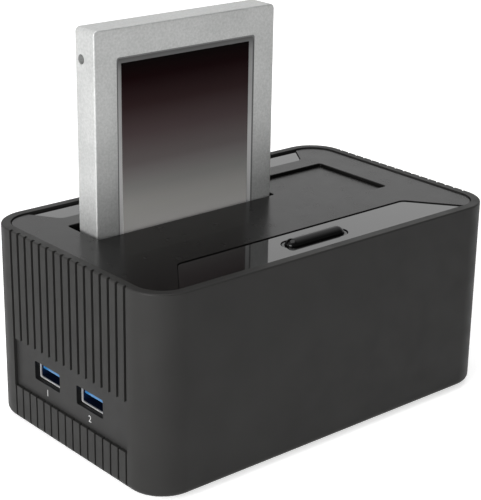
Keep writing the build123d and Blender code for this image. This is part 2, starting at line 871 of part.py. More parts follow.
def bay_flap():
    """Flap with a barrel at its front edge and a corner left out for the smaller drive."""
    outline = [
        (flap_left, flap_front),
        (flap_right, flap_front),
        (flap_right, flap_back),
        (flap_cut_x, flap_back),
        (flap_cut_x, flap_cut_y),
        (flap_left, flap_cut_y),
    ]
    shape = make_face(Polyline(*outline, close=True))
    shape = fillet(shape.vertices(), flap_corner_radius)
    plate = Pos(0, 0, flap_bottom) * extrude(shape, flap_thickness)
    plate = fillet(plate.edges().group_by(Axis.Z)[-1], flap_edge_radius)
    rib_low = hinge_y + barrel_radius / 2
    rib_step = (flap_right - flap_left) / flap_rib_count
    for number in range(flap_rib_count):
        x = flap_left + (number + 1 / 2) * rib_step
        rib_high = (flap_back if x > flap_cut_x else flap_cut_y) - flap_corner_radius
        half = flap_rib_width / 2
        plate += block(x - half, x + half, rib_low, rib_high, flap_bottom - flap_rib_height, flap_bottom)
    flap = plate + cross_bar(hinge_y, hinge_z, barrel_radius, flap_left, flap_right)
    for side in (-1, 1):
        middle = side * hinge_spring_offset
        half = spring_bay_width / 2
        flap -= cross_bar(hinge_y, hinge_z, barrel_radius + slide_gap, middle - half, middle + half)
    hole_radius = pin_radius + running_gap
    return flap - cross_bar(hinge_y, hinge_z, hole_radius, flap_left - overrun, flap_right + overrun)


def main_board():
    """Board across the case, notched round the rear left post."""
    board = block(board_left, board_right, board_front, board_back, board_bottom, board_top)
    below, above = board_bottom - overrun, board_top + overrun
    notch_right, notch_front = board_left + board_notch, board_back - board_notch
    board -= block(board_left - overrun, notch_right, notch_front, board_back + overrun, below, above)
    for x, y in standoff_places():
        board -= pilot(x, y, board_screw_radius, below, above)
    return board


def board_screws():
    """Four screws down through the main board."""
    one = screw(board_screw_head_radius, board_screw_head_height, board_screw_radius, board_screw_length)
    return group([Pos(x, y, board_top) * Rot(180, 0, 0) * one for x, y in standoff_places()])


def on_board(shares):
    """Place on the main board, by shares of its length and depth."""
    along, across = shares
    return board_left + along * board_length, board_front + across * (board_back - board_front)


def chip(shares, length, width, height):
    """Flat package with a row of feet along each long side."""
    x, y = on_board(shares)
    body = bar(x, y, length, width, board_top + pin_foot_height / 2, board_top + height)
    count = int(length / pin_foot_pitch) - 1
    foot_top = board_top + pin_foot_height
    for side in (-1, 1):
        foot_middle = y + side * (width + pin_foot_reach) / 2
        for number in range(count):
            along = x + (number - (count - 1) / 2) * pin_foot_pitch
            body += bar(along, foot_middle, pin_foot_width, 2 * pin_foot_reach, board_top, foot_top)
    return body


def bridge_chip():
    """Chip between the drive and the uplink."""
    return chip(bridge_chip_share, bridge_chip_size, bridge_chip_size, bridge_chip_height)


def hub_chip():
    """Chip that serves the side ports."""
    return chip(hub_chip_share, hub_chip_size, hub_chip_size, hub_chip_height)


def memory_chip():
    """Small chip beside the bridge chip."""
    return chip(memory_chip_share, memory_chip_length, memory_chip_width, memory_chip_height)


def crystals():
    """Two metal-canned crystals."""
    cans = []
    end_radius = crystal_width / 2 - fit_gap
    top = board_top + crystal_height
    for shares in crystal_shares:
        cans.append(slab(*on_board(shares), crystal_length, crystal_width, end_radius, board_top, top))
    return group(cans)


def power_inductors():
    """Two wound inductors with a round core showing."""
    coils = []
    size = inductor_size
    middle, top = board_top + inductor_height / 2, board_top + inductor_height
    ring_radius = (size - inductor_corner_radius) / 2
    for shares in inductor_shares:
        x, y = on_board(shares)
        frame = slab(x, y, size, size, inductor_corner_radius, board_top, top)
        ring = column(x, y, ring_radius, middle, top + overrun)
        coils.append(frame - ring + column(x, y, inductor_core_radius, middle, top))
    return group(coils)


def capacitors():
    """Three round capacitors on square bases."""
    cans = []
    y, side = board_back - capacitor_inset, 2 * capacitor_radius
    base_top_here, can_top = board_top + capacitor_base, board_top + capacitor_height
    for number in range(3):
        x = board_left + capacitor_share * board_length + (number - 1) * capacitor_pitch
        base = bar(x, y, side, side, board_top, base_top_here)
        can = column(x, y, capacitor_radius - fit_gap, board_top + capacitor_base / 2, can_top)
        cans.append(base + can)
    return group(cans)


def port_shell(y):
    """Metal tube of a side port, closed at the back."""
    back, half = port_face + port_length, port_width / 2
    shell = block(port_face, back, y - half, y + half, port_low, port_high)
    shell = fillet(shell.edges().filter_by(Axis.X), port_corner_radius)
    return shell - port_room(y, port_face - overrun)


def port_room(y, front):
    """Space inside the metal tube of a side port, from one plane to its back wall."""
    back, half = port_face + port_length - port_metal, port_width / 2 - port_metal
    return block(front, back, y - half, y + half, port_low + port_metal, port_high - port_metal)


def port_tongue(y):
    """Plastic tongue of a side port with the block that it stands on."""
    root_front = port_face + port_length - port_metal - tongue_root
    high = port_high - tongue_drop
    low = high - tongue_thickness
    half = tongue_width / 2
    tongue = block(port_face + tongue_setback, root_front, y - half, y + half, low, high)
    return tongue + port_room(y, root_front)


def port_contacts(y):
    """Flat contacts under the tongue."""
    high = port_high - tongue_drop - tongue_thickness
    low = high - contact_thickness
    front = port_face + tongue_setback + contact_setback
    back = port_face + port_length - port_metal - tongue_root
    strips = []
    for number in range(contact_count):
        middle = y + (number - (contact_count - 1) / 2) * contact_pitch
        strips.append(bar((front + back) / 2, middle, back - front, contact_width, low, high))
    return group(strips)


def uplink_port_shell():
    """Metal tube of the rear uplink port with its two cut top corners."""
    half, high = uplink_width / 2, board_top + uplink_height
    shell = block(uplink_x - half, uplink_x + half, uplink_y, rear_face, board_top, high)
    shell = chamfer(shell.edges().filter_by(Axis.Y).group_by(Axis.Z)[-1], uplink_corner)
    half, high = half - port_metal, high - port_metal
    front, back = uplink_y + port_metal, rear_face + overrun
    room = block(uplink_x - half, uplink_x + half, front, back, board_top + port_metal, high)
    return shell - chamfer(room.edges().filter_by(Axis.Y).group_by(Axis.Z)[-1], uplink_corner)


def uplink_port_core():
    """Block inside the uplink port that carries its contacts."""
    front = uplink_y + port_metal
    back_wall = front + uplink_back_thickness
    half = uplink_width / 2 - port_metal - uplink_corner
    low, high = board_top + port_metal, board_top + uplink_height - port_metal
    wall = block(uplink_x - half, uplink_x + half, front, back_wall, low, high)
    middle = (low + high) / 2
    low, high = middle - uplink_core_height / 2, middle + uplink_core_height / 2
    half = uplink_core_width / 2
    back = back_wall + uplink_core_length
    return wall + block(uplink_x - half, uplink_x + half, back_wall, back, low, high)


def power_jack_body():
    """Block with the round mouth for the power plug."""
    half = jack_width / 2
    body = block(jack_x - half, jack_x + half, jack_y, rear_face, board_top, board_top + jack_height)
    middle = board_top + jack_height / 2
    bore = Pos(jack_x, rear_face - jack_bore_depth / 2 + overrun / 2, middle) * Rot(90, 0, 0)
    return body - bore * Cylinder(jack_bore_radius, jack_bore_depth + overrun)


def power_jack_pin():
    """Pin in the middle of the power jack."""
    low, high = rear_face - jack_bore_depth, rear_face - jack_pin_setback
    middle = Pos(jack_x, (low + high) / 2, board_top + jack_height / 2) * Rot(90, 0, 0)
    pin = middle * Cylinder(jack_pin_radius, high - low)
    return fillet(pin.edges().group_by(Axis.Y)[-1], jack_pin_radius / 2)


def blades():
    """Centre and width of the two blades, signal on the left and power on the right."""
    spare = nose_width - signal_blade_width - power_blade_width
    signal_x = plug_x - nose_width / 2 + spare / 3 + signal_blade_width / 2
    power_x = plug_x + nose_width / 2 - spare / 3 - power_blade_width / 2
    return [(signal_x, signal_blade_width), (power_x, power_blade_width)]


def drive_connector_body():
    """Upright socket on the main board whose nose stands in the bay."""
    floor_gap = well_floor_bottom - slide_gap
    base = bar(plug_x, plug_y, socket_base_width, socket_base_depth, board_top, floor_gap)
    body = base + bar(plug_x, plug_y, nose_width, nose_depth, floor_gap, nose_top)
    for x, width in blades():
        slot_width, slot_depth = width + 2 * blade_gap, blade_thickness + 2 * blade_gap
        body -= bar(x, plug_y, slot_width, slot_depth, blade_bottom - blade_gap, nose_top + overrun)
    return body


def drive_connector_contacts():
    """Feet of the drive socket along its front."""
    feet = []
    y = plug_y - (socket_base_depth + pin_foot_reach) / 2
    foot_top = board_top + pin_foot_height
    for number in range(socket_pin_count):
        x = plug_x + (number - (socket_pin_count - 1) / 2) * socket_pin_pitch
        feet.append(bar(x, y, pin_foot_width, pin_foot_reach, board_top, foot_top))
    return group(feet)


def drive_face(width, length, radius, y):
    """Rounded rectangle facing the front, centred on the drive."""
    middle = ((drive_left + drive_right) / 2, y, (drive_bottom + drive_top) / 2)
    return Plane(origin=middle, x_dir=(1, 0, 0), z_dir=(0, 1, 0)) * RectangleRounded(width, length, radius)


def drive_case():
    """Body of the drive, open at the back, with a bevelled pocket for the label."""
    body = block(drive_left, drive_right, drive_front, drive_back, drive_bottom, drive_top)
    body = fillet(body.edges().filter_by(Axis.Y).group_by(Axis.Z)[-1], drive_shoulder_radius)
    faces = body.faces().sort_by(Axis.Y)
    body = fillet(faces[0].edges() + faces[-1].edges(), drive_edge_radius)
    width, length = drive_width - 2 * pocket_side_margin, drive_length - 2 * pocket_end_margin
    mouth = drive_face(width, length, pocket_corner_radius, drive_front)
    width, length = width - 2 * pocket_bevel, length - 2 * pocket_bevel
    floor = drive_face(width, length, pocket_corner_radius - pocket_bevel / 2, drive_front + pocket_depth)
    body -= loft([mouth, floor], ruled=True)
    room_low, room_high = drive_front + drive_front_wall, drive_back - drive_back_thickness
    left, right = drive_left + drive_side_wall, drive_right - drive_side_wall
    low, high = drive_bottom + drive_end_wall, drive_top - drive_end_wall
    body -= block(left, right, room_low, drive_back + overrun, low, high)
    for x, z in drive_post_places():
        post = Pos(x, 0, z) * Rot(90, 0, 0) * Cylinder(drive_post_radius, room_high - room_low)
        body += Pos(0, (room_low + room_high) / 2, 0) * post
        hole = Pos(x, room_high - drive_screw_length / 2, z) * Rot(90, 0, 0)
        body -= hole * Cylinder(drive_screw_radius + thread_gap, drive_screw_length)
    plug_hole = (plug_width + 2 * thread_gap, plug_depth + 2 * thread_gap)
    body -= bar(plug_x, plug_y, *plug_hole, drive_bottom - overrun, low + overrun)
    for z in (drive_bottom + side_hole_low, drive_bottom + side_hole_high):
        y = drive_back - side_hole_inset
        body -= cross_bar(y, z, side_hole_radius, drive_left - overrun, drive_left + side_hole_depth)
        body -= cross_bar(y, z, side_hole_radius, drive_right - side_hole_depth, drive_right + overrun)
    return body


def drive_post_places():
    """Where the back plate and the board of the drive are held."""
    inset = drive_side_wall + drive_post_inset
    low = drive_bottom + drive_end_wall + 2 * drive_post_inset
    high = drive_top - drive_end_wall - drive_post_inset
    return [(x, z) for x in (drive_left + inset, drive_right - inset) for z in (low, high)]


def drive_back_plate():
    """Cover that closes the drive from behind."""
    left, right = drive_left + drive_side_wall + fit_gap, drive_right - drive_side_wall - fit_gap
    low, high = drive_bottom + drive_end_wall + fit_gap, drive_top - drive_end_wall - fit_gap
    plate = block(left, right, drive_back - drive_back_thickness, drive_back, low, high)
    for x, z in drive_post_places():
        hole = Pos(x, drive_back, z) * Rot(90, 0, 0)
        plate -= hole * Cylinder(drive_screw_radius + thread_gap, 2 * drive_back_thickness + overrun)
        plate -= hole * Cylinder(drive_screw_head_radius + thread_gap, 2 * drive_screw_head_height)
    return plate


def drive_screws():
    """Four flat screws in the back of the drive."""
    one = screw(drive_screw_head_radius, drive_screw_head_height, drive_screw_radius, drive_screw_length)
    seat = drive_back - drive_screw_head_height
    return group([Pos(x, seat, z) * Rot(90, 0, 0) * one for x, z in drive_post_places()])


def drive_label():
    """Thin label on the floor of the pocket."""
    margin = pocket_bevel + label_margin
    width = drive_width - 2 * (pocket_side_margin + margin)
    length = drive_length - 2 * (pocket_end_margin + margin)
    floor = drive_front + pocket_depth
    outline = drive_face(width, length, pocket_corner_radius - pocket_bevel / 2, floor)
    return extrude(outline, label_thickness, dir=(0, -1, 0))


def drive_plug():
    """Plug in the end of the drive, open below, with its two blades."""
    shroud = bar(plug_x, plug_y, plug_width, plug_depth, drive_bottom, plug_top)
    below = drive_bottom - overrun
    shroud -= bar(plug_x, plug_y, plug_cavity_width, plug_cavity_depth, below, plug_cavity_top)
    for x, width in blades():
        shroud += bar(x, plug_y, width, blade_thickness, blade_bottom, plug_cavity_top + plug_back / 2)
    return shroud


def drive_board_face():
    """Y of the front of the drive's board."""
    return plug_y - drive_board_thickness / 2


def drive_board():
    """Board inside the drive, standing on the plug and held between the posts."""
    left, right = drive_left + drive_side_wall + slide_gap, drive_right - drive_side_wall - slide_gap
    front = drive_board_face()
    board = block(left, right, front, front + drive_board_thickness, plug_top, plug_top + drive_board_length)
    hole = Rot(90, 0, 0) * Cylinder(drive_post_radius + thread_gap, 2 * drive_board_thickness + overrun)
    for x, z in drive_post_places():
        board -= Pos(x, front, z) * hole
    return board


def drive_chips():
    """Memory chips on the front of the drive's board."""
    chips = []
    front = drive_board_face()
    middle = (drive_left + drive_right) / 2
    low = drive_bottom + drive_chip_rise
    high = low + drive_chip_length
    for number in range(drive_chip_count):
        x = middle + (number - (drive_chip_count - 1) / 2) * drive_chip_pitch
        chips.append(bar(x, front - drive_chip_height / 2, drive_chip_width, drive_chip_height, low, high))
    return group(chips)


def build():
    """Every node by name."""
    return {
        "outer_shell": outer_shell(),
        "port_plate": port_plate(),
        "base_tray": base_tray(),
        "rubber_feet": rubber_feet(),
        "case_screws": case_screws(),
        "top_deck": top_deck(),
        "front_strip": front_strip(),
        "rear_strip": rear_strip(),
        "button_bezel": button_bezel(),
        "power_button": power_button(),
        "button_springs": button_springs(),
        "switch_board": switch_board(),
        "switch_board_screws": switch_board_screws(),
        "button_switch": button_switch(),
        "switch_plunger": switch_plunger(),
        "status_led": status_led(),
        "ribbon_headers": ribbon_headers(),
        "switch_ribbon": switch_ribbon(),
        "drive_well": drive_well(),
        "well_screws": well_screws(),
        "flap_hinge_pin": flap_hinge_pin(),
        "flap_springs": flap_springs(),
        "bay_flap": bay_flap(),
        "main_board": main_board(),
        "board_screws": board_screws(),
        "bridge_chip": bridge_chip(),
        "hub_chip": hub_chip(),
        "memory_chip": memory_chip(),
        "crystals": crystals(),
        "power_inductors": power_inductors(),
        "capacitors": capacitors(),
        "side_port_shell_1": port_shell(port_back_y),
        "side_port_tongue_1": port_tongue(port_back_y),
        "side_port_contacts_1": port_contacts(port_back_y),
        "side_port_shell_2": port_shell(port_front_y),
        "side_port_tongue_2": port_tongue(port_front_y),
        "side_port_contacts_2": port_contacts(port_front_y),
        "uplink_port_shell": uplink_port_shell(),
        "uplink_port_core": uplink_port_core(),
        "power_jack_body": power_jack_body(),
        "power_jack_pin": power_jack_pin(),
        "drive_connector_body": drive_connector_body(),
        "drive_connector_contacts": drive_connector_contacts(),
        "drive_case": drive_case(),
        "drive_back_plate": drive_back_plate(),
        "drive_screws": drive_screws(),
        "drive_label": drive_label(),
        "drive_plug": drive_plug(),
        "drive_board": drive_board(),
        "drive_chips": drive_chips(),
    }


os.makedirs("parts", exist_ok=True)
for name, shape in build().items():
    export_step(shape, f"parts/{name}.step")
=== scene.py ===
"""Looks of the hard drive docking station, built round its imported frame, in metres."""

import logging
from dataclasses import dataclass
from enum import Enum
from functools import cache
from math import cos, pi, radians, sin

import bmesh
import bpy
from mathutils import Matrix, Vector


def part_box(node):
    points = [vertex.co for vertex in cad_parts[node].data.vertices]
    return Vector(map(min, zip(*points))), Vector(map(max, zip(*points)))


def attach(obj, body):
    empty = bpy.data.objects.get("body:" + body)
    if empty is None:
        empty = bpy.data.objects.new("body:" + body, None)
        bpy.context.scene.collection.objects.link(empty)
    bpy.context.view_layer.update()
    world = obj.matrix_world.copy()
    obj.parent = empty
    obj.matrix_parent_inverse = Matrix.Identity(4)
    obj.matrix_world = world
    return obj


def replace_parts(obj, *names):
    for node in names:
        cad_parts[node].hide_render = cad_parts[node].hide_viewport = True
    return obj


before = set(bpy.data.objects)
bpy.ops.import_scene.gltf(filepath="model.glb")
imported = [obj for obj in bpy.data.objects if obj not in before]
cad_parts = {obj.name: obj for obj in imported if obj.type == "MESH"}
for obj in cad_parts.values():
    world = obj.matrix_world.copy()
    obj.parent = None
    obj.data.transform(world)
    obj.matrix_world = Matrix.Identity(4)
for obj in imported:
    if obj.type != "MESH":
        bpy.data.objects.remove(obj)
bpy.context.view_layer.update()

Colour = tuple[float, float, float]

MM = 0.001
MERGE_DISTANCE = 0.001 * MM
FLAT_ANGLE = radians(0.4)
SHARP_ANGLE = radians(32.0)
NOISE_LOW = 0.3
NOISE_HIGH = 0.7

log = logging.getLogger("docking_station")


class Body(Enum):
    """Bodies that pieces ride on."""

    ROOT = "root"
    FLAP = "flap"
    BUTTON = "button"
    DRIVE = "drive"


class Facing(Enum):
    """Which way the heads of a set of screws look, as the turn that brings them there from -Z."""

    DOWN = (0.0, 0.0, 0.0)
    BACK = (pi / 2, 0.0, 0.0)


class TreeSketch:
    """Node tree that is filled one node at a time."""

    def __init__(self, tree: bpy.types.NodeTree) -> None:
        """Keeps the tree that the nodes go into."""
        self.tree = tree

    def add(self, kind: str, sockets: dict | None = None, **settings: object) -> bpy.types.Node:
        """Adds one node.

        Args:
            kind: Blender's name for the type of node.
            sockets: Value, or output to link, for each input by its name or number.
            settings: Properties of the node itself.

        Returns:
            The node.
        """
        node = self.tree.nodes.new(kind)
        for name, value in settings.items():
            setattr(node, name, value)
        for name, value in (sockets or {}).items():
            if isinstance(value, bpy.types.NodeSocket):
                self.tree.links.new(value, node.inputs[name])
            else:
                node.inputs[name].default_value = value
        return node


class Surface(TreeSketch):
    """Material with one shader and patterns that lie in the piece's own space."""

    def __init__(self, name: str) -> None:
        """Starts a material.

        Args:
            name: Name of the material.
        """
        self.material = bpy.data.materials.new(name)
        self.material.use_nodes = True
        super().__init__(self.material.node_tree)
        self.tree.nodes.clear()
        self.shader = self.add("ShaderNodeBsdfPrincipled")
        self.add("ShaderNodeOutputMaterial", {"Surface": self.shader.outputs["BSDF"]})
        self.place = self.add("ShaderNodeTexCoord").outputs["Object"]

    def scaled_place(self, size: float, stretch: Colour) -> bpy.types.NodeSocket:
        """Gives places counted in steps of one size.

        Args:
            size: Length of a step.
            stretch: How much finer the steps are along each axis.

        Returns:
            The scaled place.
        """
        scale = tuple(share / size for share in stretch)
        return self.add("ShaderNodeMapping", {"Vector": self.place, "Scale": scale}).outputs[0]

    def noise(self, size: float, detail: float, stretch: Colour = (1, 1, 1)) -> bpy.types.NodeSocket:
        """Adds soft noise.

        Args:
            size: Length of one patch.
            detail: How many finer layers it has.
            stretch: How much finer the noise is along each axis.

        Returns:
            The noise, from 0 to 1.
        """
        sockets = {"Vector": self.scaled_place(size, stretch), "Scale": 1.0, "Detail": detail}
        return self.add("ShaderNodeTexNoise", sockets).outputs[0]

    def ramp(self, factor: bpy.types.NodeSocket, stops: tuple) -> bpy.types.NodeSocket:
        """Turns a value into a colour.

        Args:
            factor: Value from 0 to 1.
            stops: Place and colour of each stop.

        Returns:
            The colour.
        """
        node = self.add("ShaderNodeValToRGB", {0: factor})
        elements = node.color_ramp.elements
        elements.remove(elements[-1])
        elements[0].position = stops[0][0]
        elements[0].color = (*stops[0][1], 1.0)
        for share, colour in stops[1:]:
            elements.new(share).color = (*colour, 1.0)
        return node.outputs["Color"]

    def inside(self, low: Colour, high: Colour) -> bpy.types.NodeSocket:
        """Gives 1 inside a box and 0 outside it.

        Args:
            low: Lower corner of the box.
            high: Upper corner of the box.

        Returns:
            The value.
        """
        centre = tuple((first + second) / 2 for first, second in zip(low, high))
        half = tuple((second - first) / 2 for first, second in zip(low, high))
        offset = self.add("ShaderNodeVectorMath", {0: self.place, 1: centre}, operation="SUBTRACT")
        size = self.add("ShaderNodeVectorMath", {0: offset.outputs[0]}, operation="ABSOLUTE")
        room = self.add("ShaderNodeVectorMath", {0: half, 1: size.outputs[0]}, operation="SUBTRACT")
        sides = self.add("ShaderNodeSeparateXYZ", {0: room.outputs[0]}).outputs
        least = self.add("ShaderNodeMath", {0: sides[0], 1: sides[1]}, operation="MINIMUM")
        least = self.add("ShaderNodeMath", {0: sides[2], 1: least.outputs[0]}, operation="MINIMUM")
        return self.add("ShaderNodeMath", {0: least.outputs[0], 1: 0.0}, operation="GREATER_THAN").outputs[0]

    def by_height(self, foot: float, head: float, stops: tuple) -> bpy.types.NodeSocket:
        """Gives a colour that changes with height.

        Args:
            foot: Height of the first stop.
            head: Height of the last stop.
            stops: Place and colour of each stop.

        Returns:
            The colour.
        """
        height = self.add("ShaderNodeSeparateXYZ", {0: self.place}).outputs["Z"]
        ends = {"Value": height, "From Min": foot, "From Max": head}
        return self.ramp(self.add("ShaderNodeMapRange", ends).outputs[0], stops)

    def spread(self, factor: bpy.types.NodeSocket, low: float, high: float) -> bpy.types.NodeSocket:
        """Maps noise onto a range of values.

        Args:
            factor: Noise, mostly between its usual low and high.
            low: Value at the low end.
            high: Value at the high end.

        Returns:
            The value.
        """
        ends = {"Value": factor, "From Min": NOISE_LOW, "From Max": NOISE_HIGH, "To Min": low, "To Max": high}
        return self.add("ShaderNodeMapRange", ends).outputs[0]


@dataclass(frozen=True)
class Tint:
    """Painted light and shade by height over what lies inside a box, such as a recess."""

    low: Colour
    high: Colour
    stops: tuple

    def lay(self, surface: Surface) -> None:
        """Lays the painted light and shade over the colour that the material has.

        Args:
            surface: Material that is being made.
        """
        target = surface.shader.inputs["Base Color"]
        tone = surface.by_height(self.low[2], self.high[2], self.stops)
        mask = surface.inside(self.low, self.high)
        sockets = {"Fac": mask, "Color1": target.links[0].from_socket, "Color2": tone}
        surface.tree.links.new(surface.add("ShaderNodeMixRGB", sockets).outputs[0], target)


@dataclass(frozen=True)
class Finish:
    """Surface of one material slot, with linear colours and sizes in metres."""

    slot: str
    colour: Colour
    roughness: float
    metallic: float = 0.0
    specular: float = 0.5
    coat: float = 0.0
    mottle_share: float = 0.1
    mottle_size: float = 12 * MM
    roughness_share: float = 0.12
    grain_size: float = 0.45 * MM
    grain_depth: float = 0.006 * MM
    mottle_detail: float = 4.0
    roughness_detail: float = 3.0
    grain_detail: float = 2.0
    stretch: Colour = (1.0, 1.0, 1.0)
    # Painted light and shade laid over the colour, each inside a box of the piece.
    painted_light_tints: tuple[Tint, ...] = ()

    def make(self) -> bpy.types.Material:
        """Builds the material.

        Returns:
            The material.
        """
        surface = Surface(self.slot)
        surface.shader.inputs["Metallic"].default_value = self.metallic
        surface.shader.inputs["Specular IOR Level"].default_value = self.specular
        surface.shader.inputs["Coat Weight"].default_value = self.coat
        self.paint(surface)
        # Lays the painted light and shade over the colour.
        for painted_light in self.painted_light_tints:
            painted_light.lay(surface)
        self.roughen(surface)
        self.grain(surface)
        return surface.material

    def shade(self, share: float) -> Colour:
        """Gives the colour made lighter or darker by a share of itself."""
        return tuple(channel * (1 + share) for channel in self.colour)

    def mottle(self, surface: Surface) -> bpy.types.NodeSocket:
        """Gives the colour in darker and lighter patches.

        Args:
            surface: Material that is being made.

        Returns:
            The colour.
        """
        noise = surface.noise(self.mottle_size, self.mottle_detail, self.stretch)
        dark, light = self.shade(-self.mottle_share), self.shade(self.mottle_share)
        return surface.ramp(noise, ((NOISE_LOW, dark), (NOISE_HIGH, light)))

    def paint(self, surface: Surface) -> None:
        """Links a slightly uneven colour.

        Args:
            surface: Material that is being made.
        """
        surface.tree.links.new(self.mottle(surface), surface.shader.inputs["Base Color"])

    def roughen(self, surface: Surface) -> None:
        """Links a slightly uneven gloss.

        Args:
            surface: Material that is being made.
        """
        noise = surface.noise(self.mottle_size / 2, self.roughness_detail, self.stretch)
        low = self.roughness * (1 - self.roughness_share)
        high = self.roughness * (1 + self.roughness_share)
        surface.tree.links.new(surface.spread(noise, low, high), surface.shader.inputs["Roughness"])

    def grain(self, surface: Surface) -> None:
        """Links a fine relief.

        Args:
            surface: Material that is being made.
        """
        height = surface.noise(self.grain_size, self.grain_detail, self.stretch)
        bump = surface.add("ShaderNodeBump", {"Distance": self.grain_depth, "Height": height})
        surface.tree.links.new(bump.outputs["Normal"], surface.shader.inputs["Normal"])


@dataclass(frozen=True)
class CastFinish(Finish):
    """Blasted metal casting with pale and dark specks over broad clouds."""

    mottle_detail: float = 5.0
    speck_size: float = 0.7 * MM
    speck_share: float = 0.1
    speck_detail: float = 2.0

    def paint(self, surface: Surface) -> None:
        """Links clouds darkened and lightened by specks.

        Args:
            surface: Material that is being made.
        """
        noise = surface.noise(self.speck_size, self.speck_detail)
        specks = surface.spread(noise, 1 - self.speck_share, 1 + self.speck_share)
        scaled = surface.add("ShaderNodeVectorMath", {0: self.mottle(surface)}, operation="SCALE")
        surface.tree.links.new(specks, scaled.inputs["Scale"])
        surface.tree.links.new(scaled.outputs["Vector"], surface.shader.inputs["Base Color"])


@dataclass(frozen=True)
class PaintedReflectionLabelFinish(Finish):
    """Glossy sheet whose painted reflection runs from one tone at its foot to another at its head."""

    foot: float = 0.0
    head: float = 1.0
    stops: tuple = ()

    def paint(self, surface: Surface) -> None:
        """Links the painted reflection's tones by height.

        Args:
            surface: Material that is being made.
        """
        tone = surface.by_height(self.foot, self.head, self.stops)
        surface.tree.links.new(tone, surface.shader.inputs["Base Color"])


@dataclass(frozen=True)
class BoardFinish(Finish):
    """Circuit board with paler tracks under its lacquer."""

    track_pitch: float = 1.6 * MM
    track_colour: Colour = (0.03, 0.17, 0.07)
    track_width_share: float = 0.05
    track_length_share: float = 3.0
    row_share: float = 0.5

    def paint(self, surface: Surface) -> None:
        """Links tracks over the board's colour.

        Args:
            surface: Material that is being made.
        """
        sockets = {
            "Vector": surface.scaled_place(self.track_pitch, (1, 1, 1)),
            "Color1": (*self.shade(-self.mottle_share), 1.0),
            "Color2": (*self.shade(self.mottle_share), 1.0),
            "Mortar": (*self.track_colour, 1.0),
            "Scale": 1.0,
            "Mortar Size": self.track_width_share,
            "Brick Width": self.track_length_share,
            "Row Height": self.row_share,
        }
        bricks = surface.add("ShaderNodeTexBrick", sockets)
        surface.tree.links.new(bricks.outputs["Color"], surface.shader.inputs["Base Color"])


label_low, label_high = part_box("drive_label")
flap_top_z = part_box("bay_flap")[1].z
drive_face_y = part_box("drive_case")[0].y
port_face_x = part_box("port_plate")[0].x
port_back_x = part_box("port_plate")[1].x
socket_low, socket_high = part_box("side_port_shell_2")
POCKET_REACH = 2.3 * MM
POCKET_DEPTH = 0.52 * MM
POCKET_MIDDLE = 0.2 * MM
SKIN_DEPTH = 0.03 * MM
RECESS_DEPTH = 0.12 * MM
PLATE_HALF = 100 * MM
LIP_DEPTH = 0.5 * MM
# Painted reflection on the label: pale grey at its foot, near black at its head.
LABEL_REFLECTION_STOPS = (
    (0.0, (0.42, 0.41, 0.40)),
    (0.12, (0.32, 0.315, 0.3)),
    (0.25, (0.192, 0.188, 0.182)),
    (0.4, (0.1, 0.087, 0.087)),
    (0.57, (0.055, 0.040, 0.041)),
    (0.74, (0.0205, 0.0108, 0.0113)),
    (0.9, (0.0046, 0.0004, 0.0008)),
    (1.0, (0.001, 0.0002, 0.0002)),
)
# Painted shade on the outer edge of the label's pocket, lighter at its foot.
POCKET_EDGE_SHADE_STOPS = (
    (0.0, (0.40, 0.40, 0.40)),
    (0.5, (0.16, 0.16, 0.16)),
    (0.8, (0.08, 0.08, 0.08)),
    (0.97, (0.07, 0.07, 0.07)),
    (1.0, (0.16, 0.16, 0.16)),
)
# Painted highlight at the foot of the pocket's slope, fading to painted shade at its head.
POCKET_SLOPE_LIGHT_STOPS = (
    (0.0, (0.95, 0.95, 0.95)),
    (0.4, (0.80, 0.80, 0.80)),
    (0.7, (0.35, 0.35, 0.35)),
    (0.94, (0.20, 0.20, 0.20)),
    (1.0, (0.03, 0.03, 0.03)),
)
# Painted shade on the walls of the port plate's recesses.
RECESS_SHADE_STOPS = ((0.0, (0.004, 0.004, 0.004)), (1.0, (0.006, 0.006, 0.006)))
# Painted shade inside the steel socket shells: near black, with a blue band.
SOCKET_SHADE_STOPS = ((0.0, (0.008, 0.012, 0.03)), (0.4, (0.012, 0.035, 0.12)), (1.0, (0.004, 0.006, 0.012)))
BRUSHED = (1.0, 0.06, 1.0)


def pocket_painted_light(low_y: float, high_y: float, stops: tuple) -> Tint:
    """Makes painted light and shade for a layer of the label's pocket.

    Args:
        low_y: Depth at which the layer starts.
        high_y: Depth at which it ends.
        stops: Place and colour of each stop, from the foot up.

    Returns:
        The tint.
    """
    low = (label_low.x - POCKET_REACH, drive_face_y + low_y, label_low.z - POCKET_REACH)
    high = (label_high.x + POCKET_REACH, drive_face_y + high_y, label_high.z + POCKET_REACH)
    return Tint(low, high, stops)


# Painted shade on the pocket's outer edge, and painted light and shade on its slope.
POCKET_EDGE_SHADE = pocket_painted_light(SKIN_DEPTH, POCKET_MIDDLE, POCKET_EDGE_SHADE_STOPS)
POCKET_SLOPE_LIGHT_AND_SHADE = pocket_painted_light(POCKET_MIDDLE, POCKET_DEPTH, POCKET_SLOPE_LIGHT_STOPS)
# Painted shade on everything in the port plate that lies deeper than its face.
RECESS_SHADE = Tint(
    (port_face_x + RECESS_DEPTH, -PLATE_HALF, 0.0),
    (port_back_x + RECESS_DEPTH, PLATE_HALF, PLATE_HALF),
    RECESS_SHADE_STOPS,
)
# Painted shade inside each side socket shell, behind its lip.
SOCKET_SHADE = Tint(
    (socket_low.x + LIP_DEPTH, socket_low.y, socket_low.z),
    (socket_high.x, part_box("side_port_shell_1")[1].y, socket_high.z),
    SOCKET_SHADE_STOPS,
)

